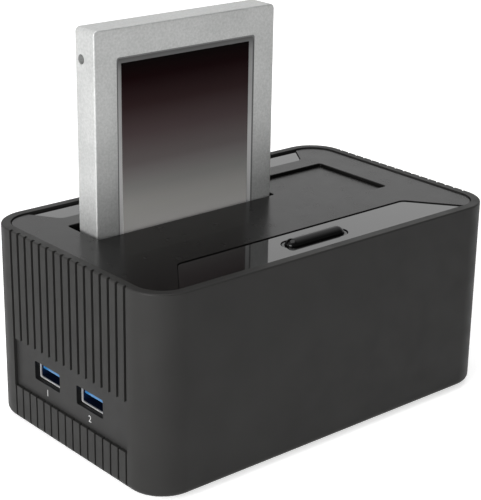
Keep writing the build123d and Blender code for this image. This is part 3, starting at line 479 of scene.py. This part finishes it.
FINISHES = {
    finish.slot: finish
    for finish in (
        Finish("case_plastic", (0.0165, 0.0162, 0.0156), 0.5, specular=0.17),
        Finish("base_plastic", (0.018, 0.018, 0.018), 0.55, specular=0.3),
        # The port plate's recesses carry painted shade.
        Finish("port_plate_plastic", (0.018, 0.0178, 0.0175), 0.5, specular=0.17, painted_light_tints=(RECESS_SHADE,)),
        Finish("foot_rubber", (0.016, 0.016, 0.016), 0.8, specular=0.3, grain_depth=0.02 * MM),
        Finish("screw_steel", (0.36, 0.36, 0.37), 0.35, metallic=1.0),
        Finish("deck_plastic", (0.0055, 0.0053, 0.0051), 0.25, specular=0.18, grain_depth=0.0004 * MM),
        Finish("strip_gloss", (0.005, 0.005, 0.005), 0.05, coat=0.35, grain_depth=0.0),
        Finish("bezel_gloss", (0.008, 0.008, 0.008), 0.1, specular=0.3, grain_depth=0.0),
        Finish("button_gloss", (0.002, 0.002, 0.002), 0.06, specular=0.2, grain_depth=0.0),
        Finish("flap_plastic", (0.0055, 0.0053, 0.0051), 0.25, specular=0.18, grain_depth=0.0004 * MM),
        Finish("well_plastic", (0.008, 0.008, 0.008), 0.5, specular=0.25),
        Finish("spring_steel", (0.5, 0.5, 0.5), 0.3, metallic=1.0),
        Finish("pin_steel", (0.55, 0.55, 0.56), 0.25, metallic=1.0),
        BoardFinish("board_green", (0.012, 0.095, 0.035), 0.35),
        Finish("chip_black", (0.02, 0.02, 0.021), 0.45),
        Finish("switch_black", (0.02, 0.02, 0.02), 0.4),
        Finish("plunger_white", (0.7, 0.7, 0.68), 0.4),
        Finish("led_lens", (0.2, 0.45, 0.9), 0.15),
        Finish("header_ivory", (0.75, 0.72, 0.6), 0.45),
        Finish("ribbon_white", (0.75, 0.75, 0.74), 0.45),
        Finish("can_metal", (0.6, 0.6, 0.61), 0.3, metallic=1.0),
        Finish("ferrite_grey", (0.08, 0.08, 0.085), 0.6),
        # The socket shells carry painted shade inside.
        Finish("port_steel", (0.8, 0.8, 0.81), 0.3, metallic=0.7, stretch=BRUSHED, painted_light_tints=(SOCKET_SHADE,)),
        Finish("tongue_blue", (0.012, 0.11, 0.27), 0.22, specular=0.6),
        Finish("contact_gold", (0.78, 0.56, 0.22), 0.25, metallic=1.0),
        Finish("socket_black", (0.015, 0.015, 0.015), 0.4),
        # The drive's casting carries painted light and shade on its label pocket.
        CastFinish(
            "drive_metal", (0.45, 0.455, 0.45), 0.4, metallic=0.5, mottle_share=0.07,
            grain_size=0.35 * MM, painted_light_tints=(POCKET_EDGE_SHADE, POCKET_SLOPE_LIGHT_AND_SHADE),
        ),
        CastFinish("drive_plate", (0.45, 0.45, 0.45), 0.4, metallic=0.6, mottle_share=0.06),
        # The label's tones are a painted reflection.
        PaintedReflectionLabelFinish(
            "label_gloss", (0.02, 0.02, 0.02), 0.16, specular=0.02, grain_depth=0.0,
            foot=flap_top_z, head=label_high.z, stops=LABEL_REFLECTION_STOPS,
        ),
    )
}
NUMERAL_INK = Finish("numeral_ink", (0.42, 0.42, 0.42), 0.5, mottle_share=0.05)


@cache
def material(slot: str) -> bpy.types.Material:
    """Gives the one material of a slot, made when it is first asked for."""
    return FINISHES[slot].make()


def bare_copy(node: str, name: str) -> bpy.types.Object:
    """Copies a node's mesh with its loose triangles joined and its flat faces made whole.

    Args:
        node: Name of the node.
        name: Name of the copy.

    Returns:
        The copy, linked to the scene.
    """
    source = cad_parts[node].data
    mesh = bpy.data.meshes.new(name)
    faces = [tuple(face.vertices) for face in source.polygons]
    mesh.from_pydata([vertex.co for vertex in source.vertices], [], faces)
    shape = bmesh.new()
    shape.from_mesh(mesh)
    bmesh.ops.remove_doubles(shape, verts=shape.verts, dist=MERGE_DISTANCE)
    bmesh.ops.dissolve_degenerate(shape, dist=MERGE_DISTANCE / 10, edges=shape.edges)
    bmesh.ops.dissolve_limit(shape, angle_limit=FLAT_ANGLE, verts=shape.verts, edges=shape.edges)
    shape.to_mesh(mesh)
    shape.free()
    piece = bpy.data.objects.new(name, mesh)
    bpy.context.scene.collection.objects.link(piece)
    return piece


def applied(piece: bpy.types.Object) -> bpy.types.Object:
    """Turns a piece's modifiers into plain mesh.

    Args:
        piece: Object with modifiers.

    Returns:
        The same object, with the result as its mesh and no modifier.
    """
    graph = bpy.context.evaluated_depsgraph_get()
    graph.update()
    mesh = bpy.data.meshes.new_from_object(piece.evaluated_get(graph), depsgraph=graph)
    piece.modifiers.clear()
    piece.data = mesh
    return piece


def smooth(piece: bpy.types.Object, bevel: float = 0.0) -> bpy.types.Object:
    """Shades round faces smoothly and keeps flat faces flat.

    Args:
        piece: Object to shade.
        bevel: Width of a small bevel on its sharp edges, or 0 for none.

    Returns:
        The same object.
    """
    if bevel:
        edges = piece.modifiers.new("edges", "BEVEL")
        edges.width = bevel
        edges.segments = 2
        edges.limit_method = "ANGLE"
        edges.angle_limit = SHARP_ANGLE
        applied(piece)
    piece.data.shade_smooth()
    piece.data.set_sharp_from_angle(angle=SHARP_ANGLE)
    weights = piece.modifiers.new("weights", "WEIGHTED_NORMAL")
    weights.keep_sharp = True
    return applied(piece)


def dress(piece: bpy.types.Object, slot: str, body: Body) -> bpy.types.Object:
    """Gives a finished piece the material of its slot, and its body.

    Args:
        piece: Object at the origin, with its place in its mesh.
        slot: Material slot of the record.
        body: Body that it rides on.

    Returns:
        The same object.
    """
    piece.data.materials.clear()
    piece.data.materials.append(material(slot))
    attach(piece, body.value)
    log.info("%s rides on %s in %s", piece.name, body.value, slot)
    return piece


def node_centre(node: str) -> Vector:
    """Gives the middle of a node's box."""
    low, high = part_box(node)
    return (low + high) / 2


@dataclass
class SubAssembly:
    """Pieces that come apart together, and the body that most of them ride on."""

    body: Body = Body.ROOT

    def skin(self, node: str, slot: str, body: Body | None = None, bevel: float = 0.0) -> bpy.types.Object:
        """Stands a smoothly shaded copy in for a node.

        Args:
            node: Node that the copy replaces.
            slot: Material slot of the record.
            body: Body that it rides on, if it isn't the sub-assembly's own.
            bevel: Width of a small bevel on its sharp edges.

        Returns:
            The copy.
        """
        piece = smooth(bare_copy(node, f"{node}_skin"), bevel)
        dress(piece, slot, body or self.body)
        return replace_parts(piece, node)

    def keep(self, node: str, slot: str) -> None:
        """Gives a node that stays its own material.

        Args:
            node: Node whose shape is right as it is.
            slot: Material slot of the record.
        """
        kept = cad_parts[node]
        if not kept.material_slots:
            kept.data.materials.append(None)
        for place in kept.material_slots:
            place.material = material(slot)
        log.info("%s keeps its shape in %s", node, slot)

    def keep_all(self, slots: dict[str, str]) -> None:
        """Gives several nodes their materials, from a slot for each name."""
        for node, slot in slots.items():
            self.keep(node, slot)


class GeometryTree(TreeSketch):
    """Geometry node tree with named sizes, used as a modifier."""

    def __init__(self, name: str, sizes: dict[str, float]) -> None:
        """Starts a tree.

        Args:
            name: Name of the tree.
            sizes: Value of each named size.
        """
        super().__init__(bpy.data.node_groups.new(name, "GeometryNodeTree"))
        self.sizes = sizes
        interface = self.tree.interface
        interface.new_socket("Geometry", in_out="INPUT", socket_type="NodeSocketGeometry")
        interface.new_socket("Geometry", in_out="OUTPUT", socket_type="NodeSocketGeometry")
        for size in sizes:
            interface.new_socket(size, in_out="INPUT", socket_type="NodeSocketFloat")
        self.given = self.add("NodeGroupInput").outputs

    def math(self, operation: str, first: object, second: object) -> bpy.types.NodeSocket:
        """Adds one sum.

        Args:
            operation: Blender's name for the operation.
            first: First number or socket.
            second: Second number or socket.

        Returns:
            The result.
        """
        return self.add("ShaderNodeMath", {0: first, 1: second}, operation=operation).outputs[0]

    def vector(self, x: object, y: object, z: object) -> bpy.types.NodeSocket:
        """Joins three numbers or sockets into a vector."""
        return self.add("ShaderNodeCombineXYZ", {"X": x, "Y": y, "Z": z}).outputs[0]

    def moved(self, geometry: bpy.types.NodeSocket, offset: object) -> bpy.types.NodeSocket:
        """Moves geometry by a vector."""
        sockets = {"Geometry": geometry, "Translation": offset}
        return self.add("GeometryNodeTransform", sockets).outputs[0]

    def close(self, geometry: bpy.types.NodeSocket, slot: str) -> None:
        """Ends the tree in real mesh with one material.

        Args:
            geometry: What the tree makes, instances among it.
            slot: Material slot of the record.
        """
        real = self.add("GeometryNodeRealizeInstances", {"Geometry": geometry}).outputs[0]
        painted = self.add("GeometryNodeSetMaterial", {"Geometry": real, "Material": material(slot)})
        self.add("NodeGroupOutput", {"Geometry": painted.outputs[0]})

    def run(self, name: str, places: list[Vector]) -> bpy.types.Object:
        """Runs the tree on a set of places.

        Args:
            name: Name of the new piece.
            places: Points that the tree starts from.

        Returns:
            The piece as plain mesh.
        """
        mesh = bpy.data.meshes.new(name)
        mesh.from_pydata(places, [], [])
        piece = bpy.data.objects.new(name, mesh)
        bpy.context.scene.collection.objects.link(piece)
        modifier = piece.modifiers.new(name, "NODES")
        modifier.node_group = self.tree
        for socket in self.tree.interface.items_tree:
            if socket.name in self.sizes:
                modifier[socket.identifier] = self.sizes[socket.name]
        return applied(piece)


@dataclass(frozen=True)
class ScrewSet:
    """Like screws with coned heads and cross recesses."""

    node: str
    head_radius: float
    head_height: float
    shank_radius: float
    facing: Facing
    sides: int = 40
    outer_share: float = 0.84
    arm_length_share: float = 1.3
    arm_width_share: float = 0.28

    def places(self) -> list[Vector]:
        """Gives the middle of each head's seat.

        Returns:
            The four seats, from the corners of the node's box.
        """
        low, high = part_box(self.node)
        inset = self.head_radius
        xs = (low.x + inset, high.x - inset)
        if self.facing is Facing.DOWN:
            ys = (low.y + inset, high.y - inset)
            return [Vector((x, y, low.z + self.head_height)) for x in xs for y in ys]
        zs = (low.z + inset, high.z - inset)
        return [Vector((x, high.y - self.head_height, z)) for x in xs for z in zs]

    def length(self) -> float:
        """Gives the length of the shank under the head."""
        low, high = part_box(self.node)
        span = high.z - low.z if self.facing is Facing.DOWN else high.y - low.y
        return span - self.head_height

    def build(self, body: Body) -> bpy.types.Object:
        """Builds the screws in place of their node.

        Args:
            body: Body that they ride on.

        Returns:
            The screws as one piece.
        """
        sizes = {
            "Head Radius": self.head_radius,
            "Head Height": self.head_height,
            "Shank Radius": self.shank_radius,
            "Length": self.length(),
        }
        tree = GeometryTree(f"{self.node}_tree", sizes)
        cut = tree.add("GeometryNodeMeshBoolean", {0: self.head(tree)}, operation="DIFFERENCE")
        for arm in self.recess(tree):
            tree.tree.links.new(arm, cut.inputs[1])
        shape = tree.add("GeometryNodeJoinGeometry", {0: cut.outputs[0]})
        tree.tree.links.new(self.shank(tree), shape.inputs[0])
        sockets = {"Points": tree.given["Geometry"], "Instance": shape.outputs[0]}
        placed = tree.add("GeometryNodeInstanceOnPoints", sockets)
        placed.inputs["Rotation"].default_value = self.facing.value
        tree.close(placed.outputs[0], "screw_steel")
        piece = smooth(tree.run(f"{self.node}_set", self.places()))
        dress(piece, "screw_steel", body)
        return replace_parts(piece, self.node)

    def head(self, tree: GeometryTree) -> bpy.types.NodeSocket:
        """Makes a head that narrows towards its outer face.

        Args:
            tree: Tree that the nodes go into.

        Returns:
            The head, below its seat.
        """
        radius, height = tree.given["Head Radius"], tree.given["Head Height"]
        outer = tree.math("MULTIPLY", radius, self.outer_share)
        sockets = {"Vertices": self.sides, "Radius Top": radius, "Radius Bottom": outer, "Depth": height}
        cone = tree.add("GeometryNodeMeshCone", sockets).outputs[0]
        return tree.moved(cone, tree.vector(0.0, 0.0, tree.math("MULTIPLY", height, -1.0)))

    def recess(self, tree: GeometryTree) -> list[bpy.types.NodeSocket]:
        """Makes the two arms that are cut out of the outer face.

        Args:
            tree: Tree that the nodes go into.

        Returns:
            The two arms.
        """
        radius, height = tree.given["Head Radius"], tree.given["Head Height"]
        long_side = tree.math("MULTIPLY", radius, self.arm_length_share)
        short_side = tree.math("MULTIPLY", radius, self.arm_width_share)
        offset = tree.vector(0.0, 0.0, tree.math("MULTIPLY", height, -1.0))
        arms = []
        for x, y in ((long_side, short_side), (short_side, long_side)):
            arm = tree.add("GeometryNodeMeshCube", {"Size": tree.vector(x, y, height)}).outputs[0]
            arms.append(tree.moved(arm, offset))
        return arms

    def shank(self, tree: GeometryTree) -> bpy.types.NodeSocket:
        """Makes the plain shank above the head.

        Args:
            tree: Tree that the nodes go into.

        Returns:
            The shank.
        """
        length = tree.given["Length"]
        sockets = {"Vertices": self.sides, "Radius": tree.given["Shank Radius"], "Depth": length}
        bar = tree.add("GeometryNodeMeshCylinder", sockets).outputs[0]
        return tree.moved(bar, tree.vector(0.0, 0.0, tree.math("DIVIDE", length, 2.0)))


@dataclass(frozen=True)
class ContactRow:
    """Row of flat gold contacts at an even pitch along X."""

    name: str
    count: int
    pitch: float = 1.27 * MM
    width: float = 0.84 * MM
    thickness: float = 0.06 * MM

    def build(self, middle: Vector, height: float, body: Body) -> bpy.types.Object:
        """Builds the row.

        Args:
            middle: Middle of the row.
            height: Height of each contact.
            body: Body that it rides on.

        Returns:
            The row as one piece.
        """
        sizes = {"Pitch": self.pitch, "Width": self.width, "Thickness": self.thickness, "Height": height}
        tree = GeometryTree(f"{self.name}_tree", sizes)
        given = tree.given
        step = tree.vector(given["Pitch"], 0.0, 0.0)
        line = tree.add("GeometryNodeMeshLine", {"Count": self.count, "Offset": step}).outputs[0]
        half_row = tree.math("MULTIPLY", given["Pitch"], -(self.count - 1) / 2)
        centred = tree.moved(line, tree.vector(half_row, 0.0, 0.0))
        size = tree.vector(given["Width"], given["Thickness"], given["Height"])
        pad = tree.add("GeometryNodeMeshCube", {"Size": size}).outputs[0]
        row = tree.add("GeometryNodeInstanceOnPoints", {"Points": centred, "Instance": pad}).outputs[0]
        whole = tree.add("GeometryNodeInstanceOnPoints", {"Points": given["Geometry"], "Instance": row})
        tree.close(whole.outputs[0], "contact_gold")
        return dress(tree.run(self.name, [middle]), "contact_gold", body)


@dataclass
class Case(SubAssembly):
    """Grooved case, port plate with its numerals, base, feet and the screws that join them."""

    numeral_height: float = 2.1 * MM
    numeral_relief: float = 0.03 * MM
    numeral_z: float = 16.2 * MM
    screw_head_radius: float = 2.4 * MM
    screw_head_height: float = 1.2 * MM
    screw_shank_radius: float = 1.25 * MM

    def build(self) -> None:
        """Builds the case."""
        self.skin("outer_shell", "case_plastic")
        self.skin("port_plate", "port_plate_plastic")
        self.skin("base_tray", "base_plastic")
        self.skin("rubber_feet", "foot_rubber")
        sizes = (self.screw_head_radius, self.screw_head_height, self.screw_shank_radius)
        ScrewSet("case_screws", *sizes, Facing.DOWN).build(self.body)
        for number, node in ((1, "side_port_shell_1"), (2, "side_port_shell_2")):
            self.numeral(number, node_centre(node).y)

    def drawn(self, number: int) -> bpy.types.Mesh:
        """Draws a number at its height, centred and lying flat.

        Args:
            number: Number to draw.

        Returns:
            The drawn number.
        """
        text = bpy.data.curves.new(f"port_numeral_{number}", "FONT")
        text.body = str(number)
        text.align_x, text.align_y = "CENTER", "CENTER"
        text.extrude = self.numeral_relief / 2
        writing = bpy.data.objects.new(f"drawn_{number}", text)
        bpy.context.scene.collection.objects.link(writing)
        graph = bpy.context.evaluated_depsgraph_get()
        mesh = bpy.data.meshes.new_from_object(writing.evaluated_get(graph), depsgraph=graph)
        bpy.data.objects.remove(writing)
        heights = [vertex.co.y for vertex in mesh.vertices]
        widths = [vertex.co.x for vertex in mesh.vertices]
        scale = self.numeral_height / (max(heights) - min(heights))
        middle = Vector((max(widths) + min(widths), max(heights) + min(heights), 0)) / 2
        mesh.transform(Matrix.Diagonal((scale, scale, 1.0, 1.0)) @ Matrix.Translation(-middle))
        return mesh

    def numeral(self, number: int, y: float) -> bpy.types.Object:
        """Prints the number of a side port under it.

        Args:
            number: Number of the port.
            y: Place of the port along the left side.

        Returns:
            The numeral.
        """
        mesh = self.drawn(number)
        towards_left = Matrix(((0, 0, -1, 0), (-1, 0, 0, 0), (0, 1, 0, 0), (0, 0, 0, 1)))
        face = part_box("port_plate")[0].x - self.numeral_relief / 2
        mesh.transform(Matrix.Translation((face, y, self.numeral_z)) @ towards_left)
        piece = bpy.data.objects.new(f"port_numeral_{number}", mesh)
        bpy.context.scene.collection.objects.link(piece)
        dress(piece, "port_plate_plastic", self.body)
        piece.data.materials[0] = numeral_ink()
        return piece


@cache
def numeral_ink() -> bpy.types.Material:
    """Gives the pale ink of the numerals."""
    return NUMERAL_INK.make()


@dataclass
class Deck(SubAssembly):
    """Panel inside the rim with its two polished strips."""

    def build(self) -> None:
        """Builds the deck."""
        self.skin("top_deck", "deck_plastic")
        self.skin("front_strip", "strip_gloss")
        self.skin("rear_strip", "strip_gloss")


@dataclass
class PowerSwitch(SubAssembly):
    """Power button with its ring, springs, switch, small board and ribbon."""

    def build(self) -> None:
        """Builds the switch."""
        self.skin("button_bezel", "bezel_gloss")
        self.skin("power_button", "button_gloss", Body.BUTTON)
        self.keep_all({
            "button_springs": "spring_steel",
            "switch_board": "board_green",
            "switch_board_screws": "screw_steel",
            "button_switch": "switch_black",
            "switch_plunger": "plunger_white",
            "status_led": "led_lens",
            "ribbon_headers": "header_ivory",
            "switch_ribbon": "ribbon_white",
        })


@dataclass
class Bay(SubAssembly):
    """Well that takes a drive, with the sprung flap over it."""

    def build(self) -> None:
        """Builds the bay."""
        self.skin("drive_well", "well_plastic")
        self.skin("bay_flap", "flap_plastic", Body.FLAP)
        self.keep_all({
            "well_screws": "screw_steel",
            "flap_hinge_pin": "pin_steel",
            "flap_springs": "spring_steel",
        })


@dataclass
class Electronics(SubAssembly):
    """Main board with what is soldered and screwed to it."""

    def build(self) -> None:
        """Builds the board."""
        self.keep_all({
            "main_board": "board_green",
            "board_screws": "screw_steel",
            "bridge_chip": "chip_black",
            "hub_chip": "chip_black",
            "memory_chip": "chip_black",
            "crystals": "can_metal",
            "power_inductors": "ferrite_grey",
            "capacitors": "can_metal",
            "drive_connector_body": "socket_black",
            "drive_connector_contacts": "contact_gold",
        })


@dataclass
class Ports(SubAssembly):
    """Two side ports, the uplink port and the power jack."""

    rolled_edge: float = 0.08 * MM

    def build(self) -> None:
        """Builds the ports."""
        for number in (1, 2):
            self.skin(f"side_port_shell_{number}", "port_steel", bevel=self.rolled_edge)
            self.skin(f"side_port_tongue_{number}", "tongue_blue", bevel=self.rolled_edge)
            self.keep(f"side_port_contacts_{number}", "contact_gold")
        self.skin("uplink_port_shell", "port_steel", bevel=self.rolled_edge)
        self.skin("uplink_port_core", "plunger_white", bevel=self.rolled_edge)
        self.skin("power_jack_body", "socket_black")
        self.skin("power_jack_pin", "pin_steel")


@dataclass
class Drive(SubAssembly):
    """Docked drive with its label, back plate, plug and insides."""

    body: Body = Body.DRIVE
    screw_head_radius: float = 1.6 * MM
    screw_head_height: float = 0.6 * MM
    screw_shank_radius: float = 0.8 * MM
    blade_thickness: float = 1.2 * MM
    signal_offset: float = -10.5 * MM
    power_offset: float = 5.25 * MM
    contact_height: float = 3.6 * MM
    contact_rise: float = 0.9 * MM
    signal_count: int = 7
    power_count: int = 15

    def build(self) -> None:
        """Builds the drive."""
        self.skin("drive_case", "drive_metal")
        self.skin("drive_back_plate", "drive_plate")
        self.skin("drive_label", "label_gloss")
        self.skin("drive_plug", "socket_black")
        self.keep_all({"drive_board": "board_green", "drive_chips": "chip_black"})
        sizes = (self.screw_head_radius, self.screw_head_height, self.screw_shank_radius)
        ScrewSet("drive_screws", *sizes, Facing.BACK).build(self.body)
        self.contacts()

    def contacts(self) -> None:
        """Adds the contacts on the front of the plug's two blades."""
        centre, low = node_centre("drive_plug"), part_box("drive_plug")[0]
        y = centre.y - self.blade_thickness / 2
        z = low.z + self.contact_rise + self.contact_height / 2
        rows = (
            ("signal", self.signal_count, self.signal_offset),
            ("power", self.power_count, self.power_offset),
        )
        for name, count, offset in rows:
            row = ContactRow(f"drive_{name}_contacts", count)
            row.build(Vector((centre.x + offset, y, z)), self.contact_height, self.body)


@dataclass(frozen=True)
class Lamp:
    """Soft square lamp that looks at the object."""

    name: str
    place: Colour
    size: float
    power: float
    in_gloss: bool = True

    def build(self, target: Vector) -> None:
        """Hangs the lamp.

        Args:
            target: Point that it looks at.
        """
        data = bpy.data.lights.new(self.name, "AREA")
        data.energy = self.power
        data.size = self.size
        lamp = bpy.data.objects.new(self.name, data)
        lamp.location = self.place
        lamp.visible_glossy = self.in_gloss
        lamp.rotation_euler = (target - Vector(self.place)).to_track_quat("-Z", "Y").to_euler()
        bpy.context.scene.collection.objects.link(lamp)


@dataclass(frozen=True)
class Studio:
    """Pale floor, soft lamps, white surroundings and the camera."""

    lamps: tuple[Lamp, ...] = (
        Lamp("left_lamp", (-1.3, -0.25, 0.45), 0.8, 19.0),
        Lamp("top_lamp", (-0.1, 0.1, 1.5), 1.2, 11.0),
        Lamp("front_lamp", (-0.26, -0.24, 0.055), 0.15, 0.55, in_gloss=False),
    )
    ambient: float = 0.28
    white: float = 1.0
    front_white: float = 0.15
    front_reach: float = 0.5
    floor_half: float = 4.0
    floor_drop: float = 0.02 * MM
    floor_colour: float = 0.8
    floor_glow: float = 0.6
    floor_glow_in_gloss: float = 0.45
    azimuth: float = radians(-40.78)
    elevation: float = radians(20.48)
    roll: float = radians(0.94)
    distance: float = 486.1 * MM
    target: Colour = (-2.55 * MM, 0.0, 51.7 * MM)
    focal_length_px: float = 1516.4
    image_long_side_px: float = 500.0
    sensor_width: float = 36.0
    near_limit: float = 10 * MM

    def build(self) -> None:
        """Builds the studio."""
        for lamp in self.lamps:
            lamp.build(Vector(self.target))
        self.surroundings()
        self.floor()
        self.camera()
        bpy.context.scene.view_settings.view_transform = "Standard"

    def seen(self, sketch: TreeSketch) -> bpy.types.NodeSocket:
        """Gives 1 for what the camera sees directly, in gloss or through glass, and otherwise 0.

        Args:
            sketch: Tree that the nodes go into.

        Returns:
            The value.
        """
        path = sketch.add("ShaderNodeLightPath").outputs
        sockets = {0: path["Is Camera Ray"], 1: path["Is Glossy Ray"]}
        first = sketch.add("ShaderNodeMath", sockets, operation="MAXIMUM")
        sockets = {0: first.outputs[0], 1: path["Is Transmission Ray"]}
        return sketch.add("ShaderNodeMath", sockets, operation="MAXIMUM").outputs[0]

    def brightness(self, sketch: TreeSketch) -> bpy.types.NodeSocket:
        """Gives the brightness of the world, which fades towards the front except to the camera.

        Args:
            sketch: Tree that the nodes go into.

        Returns:
            The brightness.
        """
        direction = sketch.add("ShaderNodeTexCoord").outputs["Generated"]
        backward = sketch.add("ShaderNodeSeparateXYZ", {0: direction}).outputs["Y"]
        sockets = {
            "Value": backward,
            "From Min": -self.front_reach,
            "From Max": 0.0,
            "To Min": self.front_white,
            "To Max": self.white,
        }
        in_gloss = sketch.add("ShaderNodeMapRange", sockets).outputs[0]
        to_camera = sketch.add("ShaderNodeLightPath").outputs["Is Camera Ray"]
        return sketch.add("ShaderNodeMath", {0: in_gloss, 1: to_camera}, operation="MAXIMUM").outputs[0]

    def surroundings(self) -> None:
        """Makes the world white to look at and dim as a light."""
        world = bpy.data.worlds.new("surroundings")
        world.use_nodes = True
        sketch = TreeSketch(world.node_tree)
        world.node_tree.nodes.clear()
        dim = sketch.add("ShaderNodeBackground", {"Color": (1, 1, 1, 1), "Strength": self.ambient})
        light = {"Color": (1, 1, 1, 1), "Strength": self.brightness(sketch)}
        bright = sketch.add("ShaderNodeBackground", light)
        sockets = {0: self.seen(sketch), 1: dim.outputs[0], 2: bright.outputs[0]}
        mixed = sketch.add("ShaderNodeMixShader", sockets)
        sketch.add("ShaderNodeOutputWorld", {"Surface": mixed.outputs[0]})
        bpy.context.scene.world = world

    def floor(self) -> None:
        """Lays the floor just under the feet."""
        half = self.floor_half
        corners = [(-half, -half, -self.floor_drop), (half, -half, -self.floor_drop)]
        corners += [(half, half, -self.floor_drop), (-half, half, -self.floor_drop)]
        mesh = bpy.data.meshes.new("floor")
        mesh.from_pydata(corners, [], [(0, 1, 2, 3)])
        mesh.materials.append(self.floor_material())
        floor = bpy.data.objects.new("floor", mesh)
        bpy.context.scene.collection.objects.link(floor)

    def floor_material(self) -> bpy.types.Material:
        """Makes a pale material that glows to the camera and in gloss, but lights nothing.

        Returns:
            The material.
        """
        surface = Surface("floor")
        shade = self.floor_colour
        surface.shader.inputs["Base Color"].default_value = (shade, shade, shade, 1.0)
        surface.shader.inputs["Roughness"].default_value = 1.0
        surface.shader.inputs["Specular IOR Level"].default_value = 0.0
        surface.shader.inputs["Emission Color"].default_value = (1, 1, 1, 1)
        to_camera = surface.add("ShaderNodeLightPath").outputs["Is Camera Ray"]
        ends = {"Value": to_camera, "To Min": self.floor_glow_in_gloss, "To Max": self.floor_glow}
        sockets = {0: self.seen(surface), 1: surface.add("ShaderNodeMapRange", ends).outputs[0]}
        glow = surface.add("ShaderNodeMath", sockets, operation="MULTIPLY")
        surface.tree.links.new(glow.outputs[0], surface.shader.inputs["Emission Strength"])
        return surface.material

    def camera(self) -> None:
        """Sets the camera where the photograph was taken from."""
        a, e, roll = self.azimuth, self.elevation, self.roll
        back = Vector((sin(a) * cos(e), -cos(a) * cos(e), sin(e)))
        level_right = Vector((cos(a), sin(a), 0.0))
        level_up = back.cross(level_right)
        right = cos(roll) * level_right + sin(roll) * level_up
        up = cos(roll) * level_up - sin(roll) * level_right
        place = Vector(self.target) + back * self.distance
        data = bpy.data.cameras.new("camera")
        data.sensor_width = self.sensor_width
        data.lens = self.focal_length_px / self.image_long_side_px * self.sensor_width
        data.clip_start = self.near_limit
        camera = bpy.data.objects.new("camera", data)
        turned = Matrix((right, up, back)).transposed().to_4x4()
        camera.matrix_world = Matrix.Translation(place) @ turned
        bpy.context.scene.collection.objects.link(camera)
        bpy.context.scene.camera = camera


def main() -> None:
    """Builds the studio and every sub-assembly."""
    logging.basicConfig(level=logging.INFO, format="%(message)s")
    Studio().build()
    for part in (Case(), Deck(), PowerSwitch(), Bay(), Electronics(), Ports(), Drive()):
        log.info("Building %s", type(part).__name__)
        part.build()


if __name__ == "__main__":
    main()
